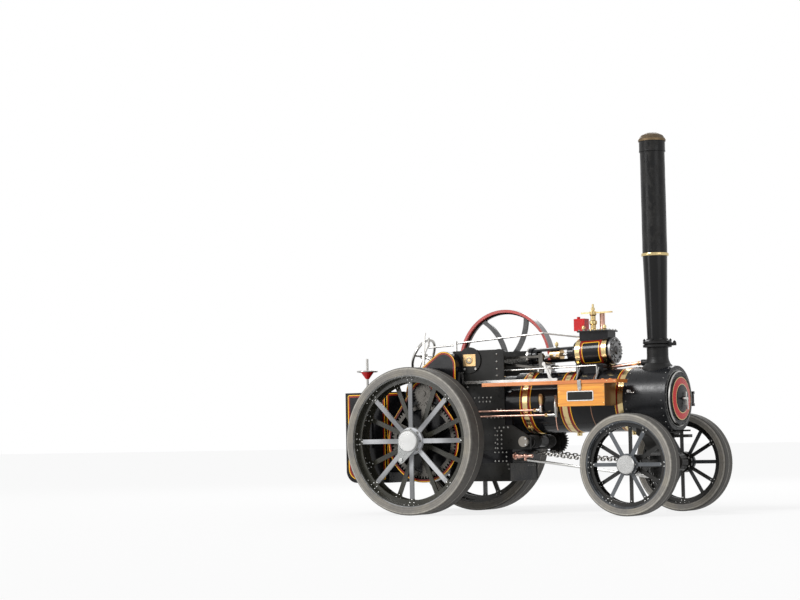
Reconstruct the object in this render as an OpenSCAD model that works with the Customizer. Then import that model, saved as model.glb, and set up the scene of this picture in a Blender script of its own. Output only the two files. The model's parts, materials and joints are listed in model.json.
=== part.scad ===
// Miniature single-cylinder steam traction engine, three eighths of full size.
// Millimetres. +X is forward, +Y is the engine's left, +Z is up.
// The ground is Z = 0 and the origin lies under the middle of the whole engine.
// Most places are measured ahead of the rear axle, which from_axle() adds.

/* [Build] */

/* [Overall] */
// Rear axle to front axle
wheelbase = 1112; // [1090:1:1150]
// Rear face of the drawbar, behind the rear axle
drawbar_reach = 515; // [500:5:560]
// Length of the drawbar behind the tender
drawbar_len = 45; // [40:1:60]

/* [Rear wheels] */
// Diameter over the rear tyre
rear_d = 700; // [680:5:720]
// Width of the rear tyre
rear_w = 124; // [110:2:126]
// Middle of the rear tyre from the centre line
rear_track = 317; // [316:1:340]
// Thickness of the solid rubber on the rear wheel
rear_tyre_t = 39; // [25:1:45]
// Spokes in a rear wheel, in two rows
rear_spokes = 16; // [12:4:20]
// Diameter of the rear hub
rear_hub_d = 84; // [76:2:96]
// Rear axle diameter
rear_axle_d = 50; // [40:2:56]

/* [Front wheels] */
// Diameter over the front tyre
front_d = 458; // [440:2:470]
// Width of the front tyre
front_w = 87; // [80:1:95]
// Middle of the front tyre from the centre line
front_track = 292; // [285:1:305]
// Thickness of the solid rubber on the front wheel
front_tyre_t = 32; // [20:1:36]
// Spokes in a front wheel, in two rows
front_spokes = 12; // [8:4:16]
// Diameter of the front hub
front_hub_d = 62; // [56:2:70]
// Front axle journal diameter
front_axle_d = 34; // [28:2:40]
// King pin diameter
king_pin_d = 28; // [24:2:32]

/* [Boiler] */
// Height of the boiler centre line
boiler_z = 522; // [518:1:528]
// Diameter of the barrel
barrel_d = 292; // [284:2:298]
// Diameter of the smokebox
smokebox_d = 300; // [296:2:306]
// Front of the firebox, ahead of the rear axle
firebox_front = 430; // [420:5:440]
// Rear of the firebox, ahead of the rear axle
firebox_rear = 60; // [55:1:70]
// Underside of the firebox
firebox_z = 240; // [230:2:250]
// Back of the smokebox, behind the front axle
smokebox_back = 94; // [88:1:100]
// Length of the smokebox drum
smokebox_len = 207; // [200:1:215]
// Plate thickness of the smokebox
shell_t = 6; // [5:1:8]
// Diameter of the smokebox door
door_d = 248; // [240:2:254]
// Width of a brass band round the boiler
band_w = 26; // [20:1:30]
// Depth of the ashpan below the firebox
ashpan_h = 87; // [70:1:95]

/* [Chimney] */
// Chimney centre, ahead of the front axle
chimney_lead = 16; // [12:1:22]
// Height of the joint flange on the chimney base
chimney_flange_z = 757; // [750:1:765]
// Height of the brass ring
chimney_ring_z = 1180; // [1150:5:1220]
// Height of the top of the extension, below the cap
chimney_top_z = 1712; // [1650:2:1730]
// Diameter of the lower chimney at its foot
chimney_foot_d = 91; // [88:1:96]
// Diameter of the chimney at the brass ring
chimney_head_d = 113; // [106:1:118]
// Wall of the chimney
chimney_t = 4; // [3:1:6]

/* [Motion work] */
// Crankshaft, ahead of the rear axle
crank_x = 210; // [206:1:214]
// Height of the crankshaft
crank_z = 730; // [726:1:736]
// Upward tilt of the cylinder centre line in degrees
motion_tilt = 2; // [1:0.5:3]
// Crankshaft diameter
crank_d = 34; // [30:2:38]
// Crank throw
crank_throw = 40; // [36:1:42]
// Where the crank stands, in degrees from forward
crank_angle = -29; // [-40:1:-10]
// Connecting rod between centres
rod_len = 363; // [358:1:368]
// Cylinder rear end, along the centre line from the crankshaft
cyl_start = 525; // [520:1:530]
// Cylinder length over its flanges
cyl_len = 161; // [155:1:170]
// Diameter over the cylinder lagging
cyl_d = 132; // [124:2:134]
// Outside diameter of the trunk guide
guide_d = 74; // [68:2:80]
// Flywheel diameter
flywheel_d = 514; // [500:2:520]
// Flywheel rim width
flywheel_w = 50; // [46:2:60]
// Middle of the flywheel from the centre line
flywheel_y = 220; // [210:1:224]
// Spokes in the flywheel
flywheel_spokes = 6; // [5:1:8]

/* [Gearing] */
// Tooth module of the final drive
final_module = 5; // [4:0.5:5]
// Teeth on the final gear
final_teeth = 70; // [68:1:72]
// Teeth on the pinion that drives it
pinion_teeth = 20; // [18:1:21]
// Tooth module of the crank gears
crank_module = 4; // [3.5:0.5:4]
// Face width of the gears
gear_w = 20; // [14:1:22]

/* [Frame] */
// Outside of each hornplate from the centre line
horn_y = 140; // [138:1:144]
// Hornplate thickness
horn_t = 6; // [4:1:8]
// Front edge of the hornplates, ahead of the rear axle
horn_front = 395; // [385:1:400]
// Top edge of the hornplates
horn_top = 776; // [770:1:785]
// Front of the tender tank, behind the rear axle
tender_front = 220; // [215:1:230]
// Half width of the tender tank
tender_half = 200; // [196:1:202]
// Underside of the tender
tender_z = 150; // [140:5:170]
// Height of the tender rail
tender_top = 590; // [580:5:600]
// Outer face of the final gear guard from the centre line
guard_y = 238; // [236:1:242]

/* [Steering] */
// Steering cross shaft, ahead of the rear axle
drum_x = 507; // [500:1:515]
// Height of the steering cross shaft
drum_z = 338; // [334:1:344]
// Diameter of the chain drum
drum_d = 54; // [48:2:60]
// Radius of the worm wheel to its tooth tips
worm_wheel_r = 60; // [54:1:62]
// Slope of the steering column in degrees
column_tilt = 25.4; // [24:0.2:27]
// Length of the steering column from worm to handwheel
column_len = 863; // [840:1:880]
// Chain eye on the axle from the centre line
chain_eye_y = 150; // [140:1:156]
// Length of one chain link over its ends
link_len = 30; // [26:1:36]
// Thickness of the chain wire
link_wire = 5.5; // [5:0.5:6.5]

/* [Toolbox] */
// Length of the toolbox
box_len = 238; // [220:2:250]
// Height of the toolbox
box_h = 101; // [90:1:108]
// Thickness of the toolbox boards
box_t = 8; // [6:1:10]
// Gap from the toolbox's front end to the smokebox
box_gap = 32; // [28:1:45]
// Top of the toolbox, where its lid board lies
box_top = 597; // [592:1:604]
// Outer face of the toolbox from the centre line
box_y = 268; // [264:1:274]
// Width of the toolbox
box_w = 112; // [90:1:114]
// How far the long lid board runs on behind the toolbox
lid_back = 398; // [385:1:410]
// Length of the long lid board
lid_len = 699; // [690:1:705]
// Thickness of the lid board
lid_t = 16; // [14:1:20]

/* [Hidden] */
$fn = 48;
axle_fit = 0.05;
seat_gap = 0.5;
rear_r = rear_d / 2;
front_r = front_d / 2;
x_rear = (drawbar_reach - wheelbase - front_r) / 2;
x_front = x_rear + wheelbase;
barrel_r = barrel_d / 2;
smokebox_r = smokebox_d / 2;
smokebox_rear = wheelbase - smokebox_back;
smokebox_front = smokebox_rear + smokebox_len;
chimney_x = wheelbase + chimney_lead;
chimney_bore_r = chimney_foot_d / 2 - chimney_t;
box_x = smokebox_rear - box_gap - box_len;
lid_x = box_x - lid_back;
band_places = [firebox_front + 65, firebox_front + 275, smokebox_rear - band_w - 2];
tender_rear = drawbar_reach - drawbar_len;
horn_in = horn_y - horn_t;
cyl_end = cyl_start + cyl_len;
lagging_t = 1.5;

// Where the piston, rod and crank stand
pin_x = crank_throw * cos(crank_angle);
pin_z = crank_throw * sin(crank_angle);
crosshead_x = pin_x + sqrt(pow(rod_len, 2) - pow(pin_z, 2));

// Gear centres follow from the pitch radii
final_r = final_module * final_teeth / 2;
pinion_r = final_module * pinion_teeth / 2;
third_shaft = [0, rear_r + final_r + pinion_r];
second_shaft = [98, 707];
crank_pinion_r = 50;
second_gear_r = norm(second_shaft - [crank_x, crank_z]) - crank_pinion_r;
guard_rim_r = final_r + 24;
pinion_guard_r = pinion_r + 15;

// Steering column geometry: the worm touches the wheel from above and ahead
worm_r = 14;
bracket_t = 8;
boss_t = 12;
worm_y = horn_y + bracket_t + boss_t + 9;
worm_x = drum_x + (worm_wheel_r + worm_r) * sin(column_tilt);
worm_z = drum_z + (worm_wheel_r + worm_r) * cos(column_tilt);
column_dir = [-cos(column_tilt), 0, sin(column_tilt)];
chain_eye_back = 58;
chain_eye_z = front_r + 22;
eye_pin_d = 10;

// Slot for the bearings in the hornplates
bearing_w = 68;
bearing_h = 56;

black_paint = [0.06, 0.06, 0.07];
dark_iron = [0.16, 0.16, 0.16];
bright_steel = [0.72, 0.72, 0.70];
brass = [0.80, 0.62, 0.25];
bronze = [0.78, 0.58, 0.30];
copper = [0.72, 0.42, 0.28];
rubber_grey = [0.45, 0.44, 0.42];
red_paint = [0.66, 0.10, 0.08];
varnished_wood = [0.86, 0.50, 0.12];
cast_aluminium = [0.80, 0.80, 0.78];

// Helpers

// Everything is laid out from the rear axle
module from_axle() {
  translate([x_rear, 0, 0]) children();
}

// Along the tilted centre line of the cylinder, from the crankshaft
module motion_line() {
  translate([x_rear + crank_x, 0, crank_z]) rotate([0, -motion_tilt, 0]) children();
}

// A flat profile drawn in X and Z, from y_low up to y_low + t
module side_plate(y_low, t) {
  translate([0, y_low + t, 0]) rotate([90, 0, 0]) linear_extrude(t) children();
}

// A flat profile drawn in Y and Z, from x_low forward
module cross_plate(x_low, t) {
  translate([x_low, 0, 0]) rotate([90, 0, 90]) linear_extrude(t) children();
}

// A round bar between two points
module bar_between(p, q, d) {
  v = q - p;
  translate(p)
    rotate([0, acos(v[2] / norm(v)), atan2(v[1], v[0])])
      cylinder(h = norm(v), d = d, $fn = 16);
}

// A round disc or bore along Y, its low face at y_low
module disc_y(y_low, t, r) {
  translate([0, y_low + t, 0]) rotate([90, 0, 0]) cylinder(h = t, r = r);
}

// A round disc or bore along X, its rear face at 0
module disc_x(t, r) {
  rotate([0, 90, 0]) cylinder(h = t, r = r);
}

// A flat link: two eyes and a bar between them, drawn in X and Z
module flat_link(p, q, w, eye) {
  v = q - p;
  translate(p) circle(d = eye, $fn = 24);
  translate(q) circle(d = eye, $fn = 24);
  translate(p) rotate(atan2(v[1], v[0])) translate([0, -w / 2]) square([norm(v), w]);
}

// The space inside the boiler barrel's skin, to trim what stands on it
module barrel_space() {
  from_axle() translate([firebox_front, 0, boiler_z])
    disc_x(smokebox_rear - firebox_front, barrel_r, $fn = 96);
}

module smokebox_space() {
  from_axle() translate([smokebox_rear, 0, boiler_z])
    disc_x(smokebox_len + 10, smokebox_r, $fn = 96);
}

// Spur gear outline with straight-sided teeth, a tooth at angle 0
module gear_flat(module_size, teeth) {
  pitch_r = module_size * teeth / 2;
  root_r = pitch_r - 1.25 * module_size;
  circle(r = root_r, $fn = 96);
  for (i = [0 : teeth - 1])
    rotate(i * 360 / teeth)
      polygon([[root_r - 1, -1.1 * module_size], [pitch_r, -0.72 * module_size],
        [pitch_r + module_size, -0.4 * module_size], [pitch_r + module_size, 0.4 * module_size],
        [pitch_r, 0.72 * module_size], [root_r - 1, 1.1 * module_size]]);
}

// Wheels

// Solid tyre about Y with rounded-off edges
module tyre(r, t, w) {
  edge = 7;
  rotate([-90, 0, 0])
    rotate_extrude($fn = 64)
      polygon([[r - t, -w / 2], [r - edge, -w / 2], [r, edge - w / 2],
        [r, w / 2 - edge], [r - edge, w / 2], [r - t, w / 2]]);
}

// One flat spoke with a flared foot, from hub radius to rim ring
module spoke(r_in, r_out, w, t) {
  foot_len = w * 1.4;
  foot_half = w * 1.25;
  side_plate(-t / 2, t)
    polygon([[r_in, -w / 2], [r_out - foot_len, -w / 2], [r_out - foot_len * 0.3, -foot_half * 0.65],
      [r_out, -foot_half], [r_out, foot_half], [r_out - foot_len * 0.3, foot_half * 0.65],
      [r_out - foot_len, w / 2], [r_in, w / 2]]);
}

// Turned hub: a barrel with a flange for each row of spokes
module hub(hub_r, flange_r, hub_in, hub_out, row_y, flange_t) {
  lip = 5;
  rotate([-90, 0, 0]) rotate_extrude() {
    polygon([[0, hub_in], [hub_r - lip, hub_in], [hub_r, hub_in + lip],
      [hub_r, hub_out - lip], [hub_r - lip, hub_out], [0, hub_out]]);
    for (s = [-1, 1])
      translate([0, s * row_y - flange_t / 2]) square([flange_r, flange_t]);
  }
}

// Built-up wheel about Y: rim, two inner rings, flat spokes and a hub
module spoked_wheel(r, w, rim_t, ring_h, row_y, hub_r, flange_r, hub_in, hub_out,
    bore_d, spokes, spoke_w, spoke_t) {
  ring_t = 6;
  difference() {
    union() {
      rotate([-90, 0, 0]) rotate_extrude($fn = 96) {
        translate([r - rim_t, -w / 2]) square([rim_t, w]);
        for (s = [-1, 1])
          translate([r - rim_t - ring_h, s * row_y - ring_t / 2]) square([ring_h + 1, ring_t]);
      }
      hub(hub_r, flange_r, hub_in, hub_out, row_y, ring_t + spoke_t);
      for (row = [0, 1]) {
        y = (row == 0 ? 1 : -1) * row_y;
        for (i = [0 : spokes / 2 - 1])
          translate([0, y, 0])
            rotate([0, (i + row / 2) * 720 / spokes, 0])
              spoke(hub_r - 2, r - rim_t - 1, spoke_w, spoke_t);
      }
    }
    disc_y(hub_in - 1, hub_out - hub_in + 2, bore_d / 2 + axle_fit);
  }
}

// Turned cap over the axle end, about Y
module hub_cap(r, y_in, depth) {
  rotate([-90, 0, 0])
    rotate_extrude()
      polygon([[0, y_in], [r - 3, y_in], [r, y_in + 3], [r, y_in + depth - 4],
        [r - 4, y_in + depth], [0, y_in + depth]]);
}

// Put a wheel on its side: side -1 is the engine's right
module rear_place(side) {
  translate([x_rear, side * rear_track, rear_r])
    mirror([0, side < 0 ? 1 : 0, 0]) children();
}

module front_place(side) {
  translate([x_front, side * front_track, front_r])
    mirror([0, side < 0 ? 1 : 0, 0]) children();
}

// Ends of the hubs, measured outwards from the middle of the tyre
rear_hub_in = -58;
rear_hub_out = 54;
front_hub_in = -46;
front_hub_out = 36;

module rear_wheel(side) {
  color(dark_iron) rear_place(side)
    spoked_wheel(rear_r - rear_tyre_t, rear_w - 10, 8, 24, 28, rear_hub_d / 2, rear_hub_d / 2 + 24,
      rear_hub_in, rear_hub_out, rear_axle_d, rear_spokes, 22, 8);
}

module front_wheel(side) {
  color(black_paint) front_place(side)
    spoked_wheel(front_r - front_tyre_t, front_w - 9, 7, 20, 18, front_hub_d / 2, front_hub_d / 2 + 18,
      front_hub_in, front_hub_out, front_axle_d, front_spokes, 17, 5);
}

module rear_tyre(side) {
  color(rubber_grey) rear_place(side) tyre(rear_r, rear_tyre_t, rear_w);
}

module front_tyre(side) {
  color(rubber_grey) front_place(side) tyre(front_r, front_tyre_t, front_w);
}

// The rear cap closes the hub over a drop-shaped driving plate
module rear_cap(side) {
  plate_t = 5;
  plate_reach = 96;
  plate_angle = 246;
  color(cast_aluminium) rear_place(side) {
    hub_cap(rear_hub_d / 2 + 10, rear_hub_out + plate_t, 7);
    side_plate(rear_hub_out, plate_t) hull() {
      circle(r = rear_hub_d / 2 + 14, $fn = 32);
      rotate(plate_angle) translate([plate_reach, 0]) circle(r = 18, $fn = 32);
    }
    rotate([0, -plate_angle, 0]) translate([plate_reach, 0, 0])
      disc_y(rear_hub_out + plate_t, 5, 9);
  }
}

module front_cap(side) {
  color(cast_aluminium) front_place(side) hub_cap(front_hub_d / 2 + 12.5, front_hub_out, 9);
}

// Boiler and chimney

module boiler() {
  color(black_paint) barrel_space();
}

module boiler_bands() {
  band_t = 3;
  color(brass) from_axle()
    for (x = band_places)
      translate([x, 0, boiler_z]) difference() {
        disc_x(band_w, barrel_r + band_t, $fn = 96);
        translate([-1, 0, 0]) disc_x(band_w + 2, barrel_r, $fn = 96);
      }
}

// Middle of the firehole and of its door
firehole_z = boiler_z - 52;
firehole_r = 42;
fire_hinge_y = 68;
fire_hinge_x = firebox_rear - 7.5;

// Round-topped firebox between the hornplates, open at the bottom
module firebox() {
  wall = 20;
  len = firebox_front - firebox_rear;
  color(black_paint) from_axle() difference() {
    cross_plate(firebox_rear, len) {
      translate([0, boiler_z]) circle(r = horn_in, $fn = 64);
      translate([-horn_in, firebox_z]) square([2 * horn_in, boiler_z - firebox_z]);
    }
    cross_plate(firebox_rear + wall, len - 2 * wall) {
      translate([0, boiler_z]) circle(r = horn_in - wall, $fn = 64);
      translate([wall - horn_in, firebox_z - 1])
        square([2 * (horn_in - wall), boiler_z - firebox_z + 1]);
    }
    translate([firebox_rear - 1, 0, firehole_z]) disc_x(wall + 2, firehole_r);
  }
  color(dark_iron) from_axle() translate([fire_hinge_x, fire_hinge_y, firehole_z]) {
    translate([0, 0, -26]) cylinder(h = 52, d = 8, $fn = 24);
    for (z = [-26, 15])
      translate([-6, -6, z]) cube([13.5, 12, 11]);
  }
}

module grate() {
  wall = 20;
  bar_w = 14;
  bar_pitch = 26;
  inside = firebox_front - firebox_rear - 2 * wall;
  half = horn_in - wall;
  color(dark_iron) from_axle() {
    for (i = [-4 : 4])
      translate([firebox_rear + wall, i * bar_pitch - bar_w / 2, firebox_z + 22])
        cube([inside, bar_w, 18]);
    for (x = [firebox_rear + wall, firebox_front - wall - 12])
      translate([x, -half, firebox_z + 10]) cube([12, 2 * half, 12]);
  }
}

module ashpan() {
  wall = 4;
  back = firebox_rear + 20;
  len = firebox_front - 14 - back;
  color(black_paint) from_axle() difference() {
    translate([back, -horn_in, firebox_z - ashpan_h]) cube([len, 2 * horn_in, ashpan_h]);
    translate([back + wall, wall - horn_in, firebox_z - ashpan_h + wall])
      cube([len, 2 * (horn_in - wall), ashpan_h]);
  }
}

// Smokebox drum, the front plate let into its end and the door's hinge post
door_hinge_y = smokebox_r - 12;
door_hinge_x = smokebox_front + 8.5;

module smokebox() {
  front_t = 10;
  plate_fit = 0.2;
  door_hole = door_d / 2 - 14;
  color(black_paint) from_axle() translate([smokebox_rear, 0, boiler_z]) difference() {
    disc_x(smokebox_len, smokebox_r, $fn = 96);
    translate([-1, 0, 0]) disc_x(smokebox_len + 2, smokebox_r - shell_t, $fn = 96);
    translate([chimney_x - smokebox_rear, 0, 0]) cylinder(h = smokebox_r + 5, r = chimney_bore_r);
  }
  color(black_paint) from_axle() translate([smokebox_front - front_t, 0, boiler_z]) difference() {
    disc_x(front_t, smokebox_r - shell_t - plate_fit, $fn = 96);
    translate([-1, 0, 0]) disc_x(front_t + 2, door_hole);
  }
  color(black_paint) from_axle() translate([door_hinge_x, door_hinge_y, boiler_z]) {
    translate([0, 0, -34]) cylinder(h = 68, d = 8, $fn = 24);
    for (z = [-34, 21]) {
      translate([-8.5, -8, z]) cube([16, 9, 13]);
      translate([-7.5, -8, z]) cube([15, 16, 13]);
    }
  }
}

// Dished door with a raised ring, hinge straps and the dart's two handles
module smokebox_door() {
  door_r = door_d / 2;
  color(black_paint) from_axle() translate([smokebox_front + seat_gap, 0, boiler_z]) {
    rotate([0, 90, 0]) rotate_extrude($fn = 96)
      polygon([[0, 0], [door_r - 3, 0], [door_r, 3], [door_r, 8], [door_r - 4, 12], [door_r - 14, 12],
        [door_r - 18, 9], [door_r - 24, 9], [door_r - 28, 15], [66, 19], [60, 23], [30, 27], [0, 28]]);
    difference() {
      union() {
        translate([2, door_r - 25, -20]) cube([6, door_hinge_y - door_r + 22, 40]);
        translate([door_hinge_x - smokebox_front - seat_gap, door_hinge_y, -20])
          cylinder(h = 40, d = 15, $fn = 24);
      }
      translate([door_hinge_x - smokebox_front - seat_gap, door_hinge_y, -21])
        cylinder(h = 42, d = 8 + 2 * axle_fit, $fn = 24);
    }
    translate([26, 0, 0]) disc_x(14, 9, $fn = 24);
    translate([36, 0, 0]) rotate([80, 0, 0]) translate([-3, -30, -4]) cube([6, 60, 8]);
    translate([42, 0, 0]) rotate([6, 0, 0]) translate([-3, -4, -50]) cube([6, 8, 54]);
  }
}

// Cast base: saddle foot, neck and a double-lipped joint flange with its hinge lug
module chimney_base() {
  neck_r = chimney_foot_d / 2 + 4;
  top = boiler_z + smokebox_r;
  flange_r = 66;
  lug_reach = 88;
  boss_z = top + 20;
  color(black_paint) difference() {
    from_axle() translate([chimney_x, 0, 0]) {
      rotate_extrude($fn = 64)
        polygon([[0, boiler_z + 90], [80, boiler_z + 90], [78, top - 10], [66, top + 4],
          [57, top + 14], [neck_r + 2, top + 30], [neck_r, top + 42],
          [neck_r, chimney_flange_z], [flange_r, chimney_flange_z + 3], [flange_r, chimney_flange_z + 13],
          [flange_r - 7, chimney_flange_z + 16], [flange_r, chimney_flange_z + 19],
          [flange_r, chimney_flange_z + 29], [neck_r + 4, chimney_flange_z + 36],
          [0, chimney_flange_z + 36]]);
      translate([0, 0, chimney_flange_z + 8]) linear_extrude(14) hull() {
        circle(r = 30, $fn = 24);
        translate([lug_reach, 0]) circle(r = 7, $fn = 16);
      }
      translate([-80, 0, boss_z]) disc_x(40, 15);
    }
    smokebox_space();
    from_axle() translate([chimney_x, 0, boiler_z]) cylinder(h = chimney_flange_z, r = chimney_bore_r);
  }
}

module chimney() {
  z0 = chimney_flange_z + 36;
  color(black_paint) from_axle() translate([chimney_x, 0, 0])
    rotate_extrude($fn = 64)
      polygon([[chimney_foot_d / 2 - chimney_t, z0], [chimney_foot_d / 2, z0],
        [chimney_head_d / 2, chimney_ring_z], [chimney_head_d / 2 - chimney_t, chimney_ring_z]]);
}

// Upper length with its brass ring at the foot and a collar under the cap
module chimney_extension() {
  r = chimney_head_d / 2 + 0.5;
  ring_h = 12;
  collar_h = 47;
  color(black_paint) from_axle() translate([chimney_x, 0, 0])
    rotate_extrude($fn = 64)
      polygon([[r - chimney_t, chimney_ring_z], [r + 5, chimney_ring_z], [r + 6, chimney_ring_z + ring_h / 2],
        [r + 5, chimney_ring_z + ring_h], [r, chimney_ring_z + ring_h], [r, chimney_top_z - collar_h],
        [r + 3, chimney_top_z - collar_h], [r + 3, chimney_top_z], [r - chimney_t, chimney_top_z]]);
}

module spark_cap() {
  r = chimney_head_d / 2 + 7;
  color(bronze) from_axle() translate([chimney_x, 0, chimney_top_z])
    rotate_extrude($fn = 64)
      polygon([[0, 42], [0, 38], [28, 34], [46, 24], [r - 11, 11], [r - 11, 0], [r, 0], [r, 9],
        [50, 28], [30, 38]]);
}

// Frame, axles and front bracket

boss_r = 36;
boss_top = front_r + 35;
boss_bottom = front_r - 42;
perch_w = 150;

// Tapered bracket: waisted from the front, wider at the smokebox than at the king pin
module perch_body() {
  top = boiler_z;
  seat = boiler_z - smokebox_r;
  intersection() {
    side_plate(-perch_w / 2, perch_w)
      polygon([[wheelbase - 66, top], [wheelbase - 66, seat - 6], [wheelbase - 44, seat - 44],
        [wheelbase - boss_r, boss_top + 20], [wheelbase - boss_r, boss_top],
        [wheelbase + boss_r, boss_top], [wheelbase + boss_r, boss_top + 20],
        [wheelbase + 52, seat - 44], [wheelbase + 84, seat - 6], [wheelbase + 84, top]]);
    cross_plate(wheelbase - 90, 190) difference() {
      translate([-perch_w / 2, boss_top]) square([perch_w, top - boss_top]);
      for (s = [-1, 1])
        translate([s * (boss_r + 66), boss_top + 32]) circle(r = 66);
    }
  }
}

module perch() {
  pin_low = boss_bottom - 30;
  eye_d = 40;
  rod_d = 12;
  lug_t = 14;
  color(black_paint) difference() {
    from_axle() {
      perch_body();
      translate([wheelbase, 0, pin_low]) cylinder(h = boss_top + 20 - pin_low, d = king_pin_d);
      translate([wheelbase, 0, boss_bottom - 16.5]) cylinder(h = 16, d = 46, $fn = 6);
      translate([wheelbase, 0, pin_low]) cylinder(h = 14, d = eye_d);
      difference() {
        translate([wheelbase, -22, boiler_z - smokebox_r - 27]) cube([168, 44, lug_t]);
        translate([wheelbase + 146, 0, boiler_z - smokebox_r - 30]) cylinder(h = 20, d = 20);
      }
    }
    smokebox_space();
  }
  color(bright_steel) from_axle()
    bar_between([firebox_front + 1.1, 0, firebox_z + 12], [wheelbase - 16, 0, pin_low + 7], rod_d);
}

// Forged beam with a king pin boss, an eye behind it for each chain, and stub axles
module front_axle() {
  beam_end = front_track + front_hub_in - 2;
  end_boss_r = 44;
  beam_h = 36;
  eye_arm = 10;
  color(black_paint) translate([x_front, 0, 0]) difference() {
    union() {
      cross_plate(-20, 40)
        polygon([[-beam_end + 66, front_r - 14], [-70, front_r - beam_h / 2], [70, front_r - beam_h / 2],
          [beam_end - 66, front_r - 14], [beam_end - 66, front_r + 14], [70, front_r + beam_h / 2],
          [-70, front_r + beam_h / 2], [-beam_end + 66, front_r + 14]]);
      translate([0, 0, boss_bottom]) cylinder(h = boss_top - seat_gap - boss_bottom, r = boss_r);
      for (s = [-1, 1]) translate([0, 0, front_r]) {
        disc_y(s > 0 ? beam_end - 68 : -beam_end, 68, end_boss_r);
        disc_y(s > 0 ? beam_end - 1 : -front_track - front_hub_out + 2,
          front_track + front_hub_out - beam_end - 1, front_axle_d / 2);
      }
      for (s = [-1, 1]) translate([0, s * chain_eye_y, 0]) {
        for (z = [-11 - eye_arm, 11])
          translate([-chain_eye_back - 10, -10, chain_eye_z + z])
            cube([chain_eye_back - 8, 20, eye_arm]);
        translate([-chain_eye_back, 0, chain_eye_z - 11 - eye_arm])
          cylinder(h = 22 + 2 * eye_arm, d = eye_pin_d, $fn = 24);
        translate([-30, -10, chain_eye_z - 11 - eye_arm]) cube([22, 20, 22 + 2 * eye_arm]);
      }
    }
    translate([0, 0, boss_bottom - 1]) cylinder(h = 90, d = king_pin_d + 2 * axle_fit);
  }
}

// Side plates that carry crankshaft and axle, and run back to the tender
module hornplates() {
  low = 300;
  flange_r = 62;
  guard_clear = second_shaft[0] + 71;
  color(dark_iron) from_axle()
    for (s = [-1, 1]) difference() {
      union() {
        side_plate(s > 0 ? horn_in : -horn_y, horn_t)
          polygon([[-tender_front, low], [-tender_front, tender_top], [-40, tender_top],
            [120, horn_top], [horn_front, horn_top], [horn_front, low]]);
        side_plate(s > 0 ? horn_y : -horn_y - 6, 6) intersection() {
          translate([crank_x, crank_z]) circle(r = flange_r);
          translate([guard_clear, crank_z - flange_r]) square(2 * flange_r);
        }
      }
      translate([crank_x - bearing_w / 2, -horn_y - 10, crank_z - bearing_h / 2])
        cube([bearing_w, 2 * horn_y + 20, bearing_h]);
      translate([0, 0, rear_r]) disc_y(-horn_y - 10, 2 * horn_y + 20, rear_axle_d / 2 + 4);
      translate([reach_pin[0], 0, reach_pin[1]]) disc_y(-horn_y - 10, 30, 7);
    }
}

module axle_boxes() {
  box = 110;
  box_out = 15;
  out = horn_y + box_out;
  color(dark_iron) from_axle()
    for (s = [-1, 1])
      difference() {
        translate([-box / 2, s > 0 ? horn_y : -out, rear_r - box / 2]) cube([box, box_out, box]);
        translate([0, 0, rear_r]) disc_y(-out - 1, 2 * out + 2, rear_axle_d / 2 + axle_fit);
      }
}

// Brackets ahead of the firebox that carry the steering cross shaft
shaft_r = 10;

module steering_brackets() {
  color(dark_iron) from_axle()
    for (s = [-1, 1]) {
      side_plate(s > 0 ? horn_y : -horn_y - bracket_t, bracket_t) difference() {
        polygon([[334, 302], [334, 416], [horn_front + 44, 416], [drum_x + 27, drum_z + 21],
          [drum_x + 27, 302]]);
        translate([drum_x, drum_z]) circle(r = shaft_r);
      }
      translate([drum_x, 0, drum_z]) difference() {
        disc_y(s > 0 ? horn_y + bracket_t : -horn_y - bracket_t - boss_t, boss_t, 26);
        disc_y(-horn_y - 40, 2 * horn_y + 80, shaft_r);
      }
    }
}

module rear_axle() {
  half = rear_track + rear_hub_out - 1;
  collar_in = guard_y + 4;
  collar_t = rear_track + rear_hub_in - collar_in - 1.5;
  color(bright_steel) from_axle() translate([0, 0, rear_r]) {
    disc_y(-half, 2 * half, rear_axle_d / 2);
    for (s = [-1, 1])
      disc_y(s > 0 ? collar_in : -collar_in - collar_t, collar_t, rear_axle_d / 2 + 12);
  }
}

// Crankshaft and motion work

module crankshaft() {
  web_t = 12;
  web_y = 20;
  end_y = horn_y + 7;
  web_w = crank_d * 1.3;
  color(bright_steel) motion_line() {
    disc_y(-end_y, end_y - web_y, crank_d / 2);
    disc_y(web_y, flywheel_y + 42 - web_y, crank_d / 2);
    for (y = [-web_y - web_t, web_y])
      side_plate(y, web_t) {
        rotate(crank_angle) translate([-crank_d, -web_w / 2]) square([crank_throw + crank_d + 18, web_w]);
        rotate(crank_angle) translate([crank_throw + 18, 0]) circle(r = web_w / 2);
        circle(r = crank_d * 0.8);
      }
    translate([pin_x, 0, pin_z]) disc_y(-web_y, 2 * web_y, 14);
  }
}

module crank_bearings() {
  bearing_in = 118;
  color(bronze) from_axle() translate([crank_x, 0, crank_z])
    for (s = [-1, 1]) difference() {
      translate([-bearing_w / 2, s > 0 ? bearing_in : -horn_y - 6, -bearing_h / 2])
        cube([bearing_w, horn_y + 6 - bearing_in, bearing_h]);
      disc_y(-horn_y - 10, 2 * horn_y + 20, crank_d / 2 + axle_fit);
    }
}

// One flywheel spoke: an arc that leaves the hub along X and bends as it goes out
module curved_spoke(r_in, r_out, bend_r, w) {
  intersection() {
    translate([0, bend_r]) difference() {
      circle(r = bend_r + w / 2, $fn = 96);
      circle(r = bend_r - w / 2, $fn = 96);
    }
    difference() {
      circle(r = r_out);
      circle(r = r_in);
    }
    translate([0, -w]) square([r_out, r_out]);
  }
}

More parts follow.
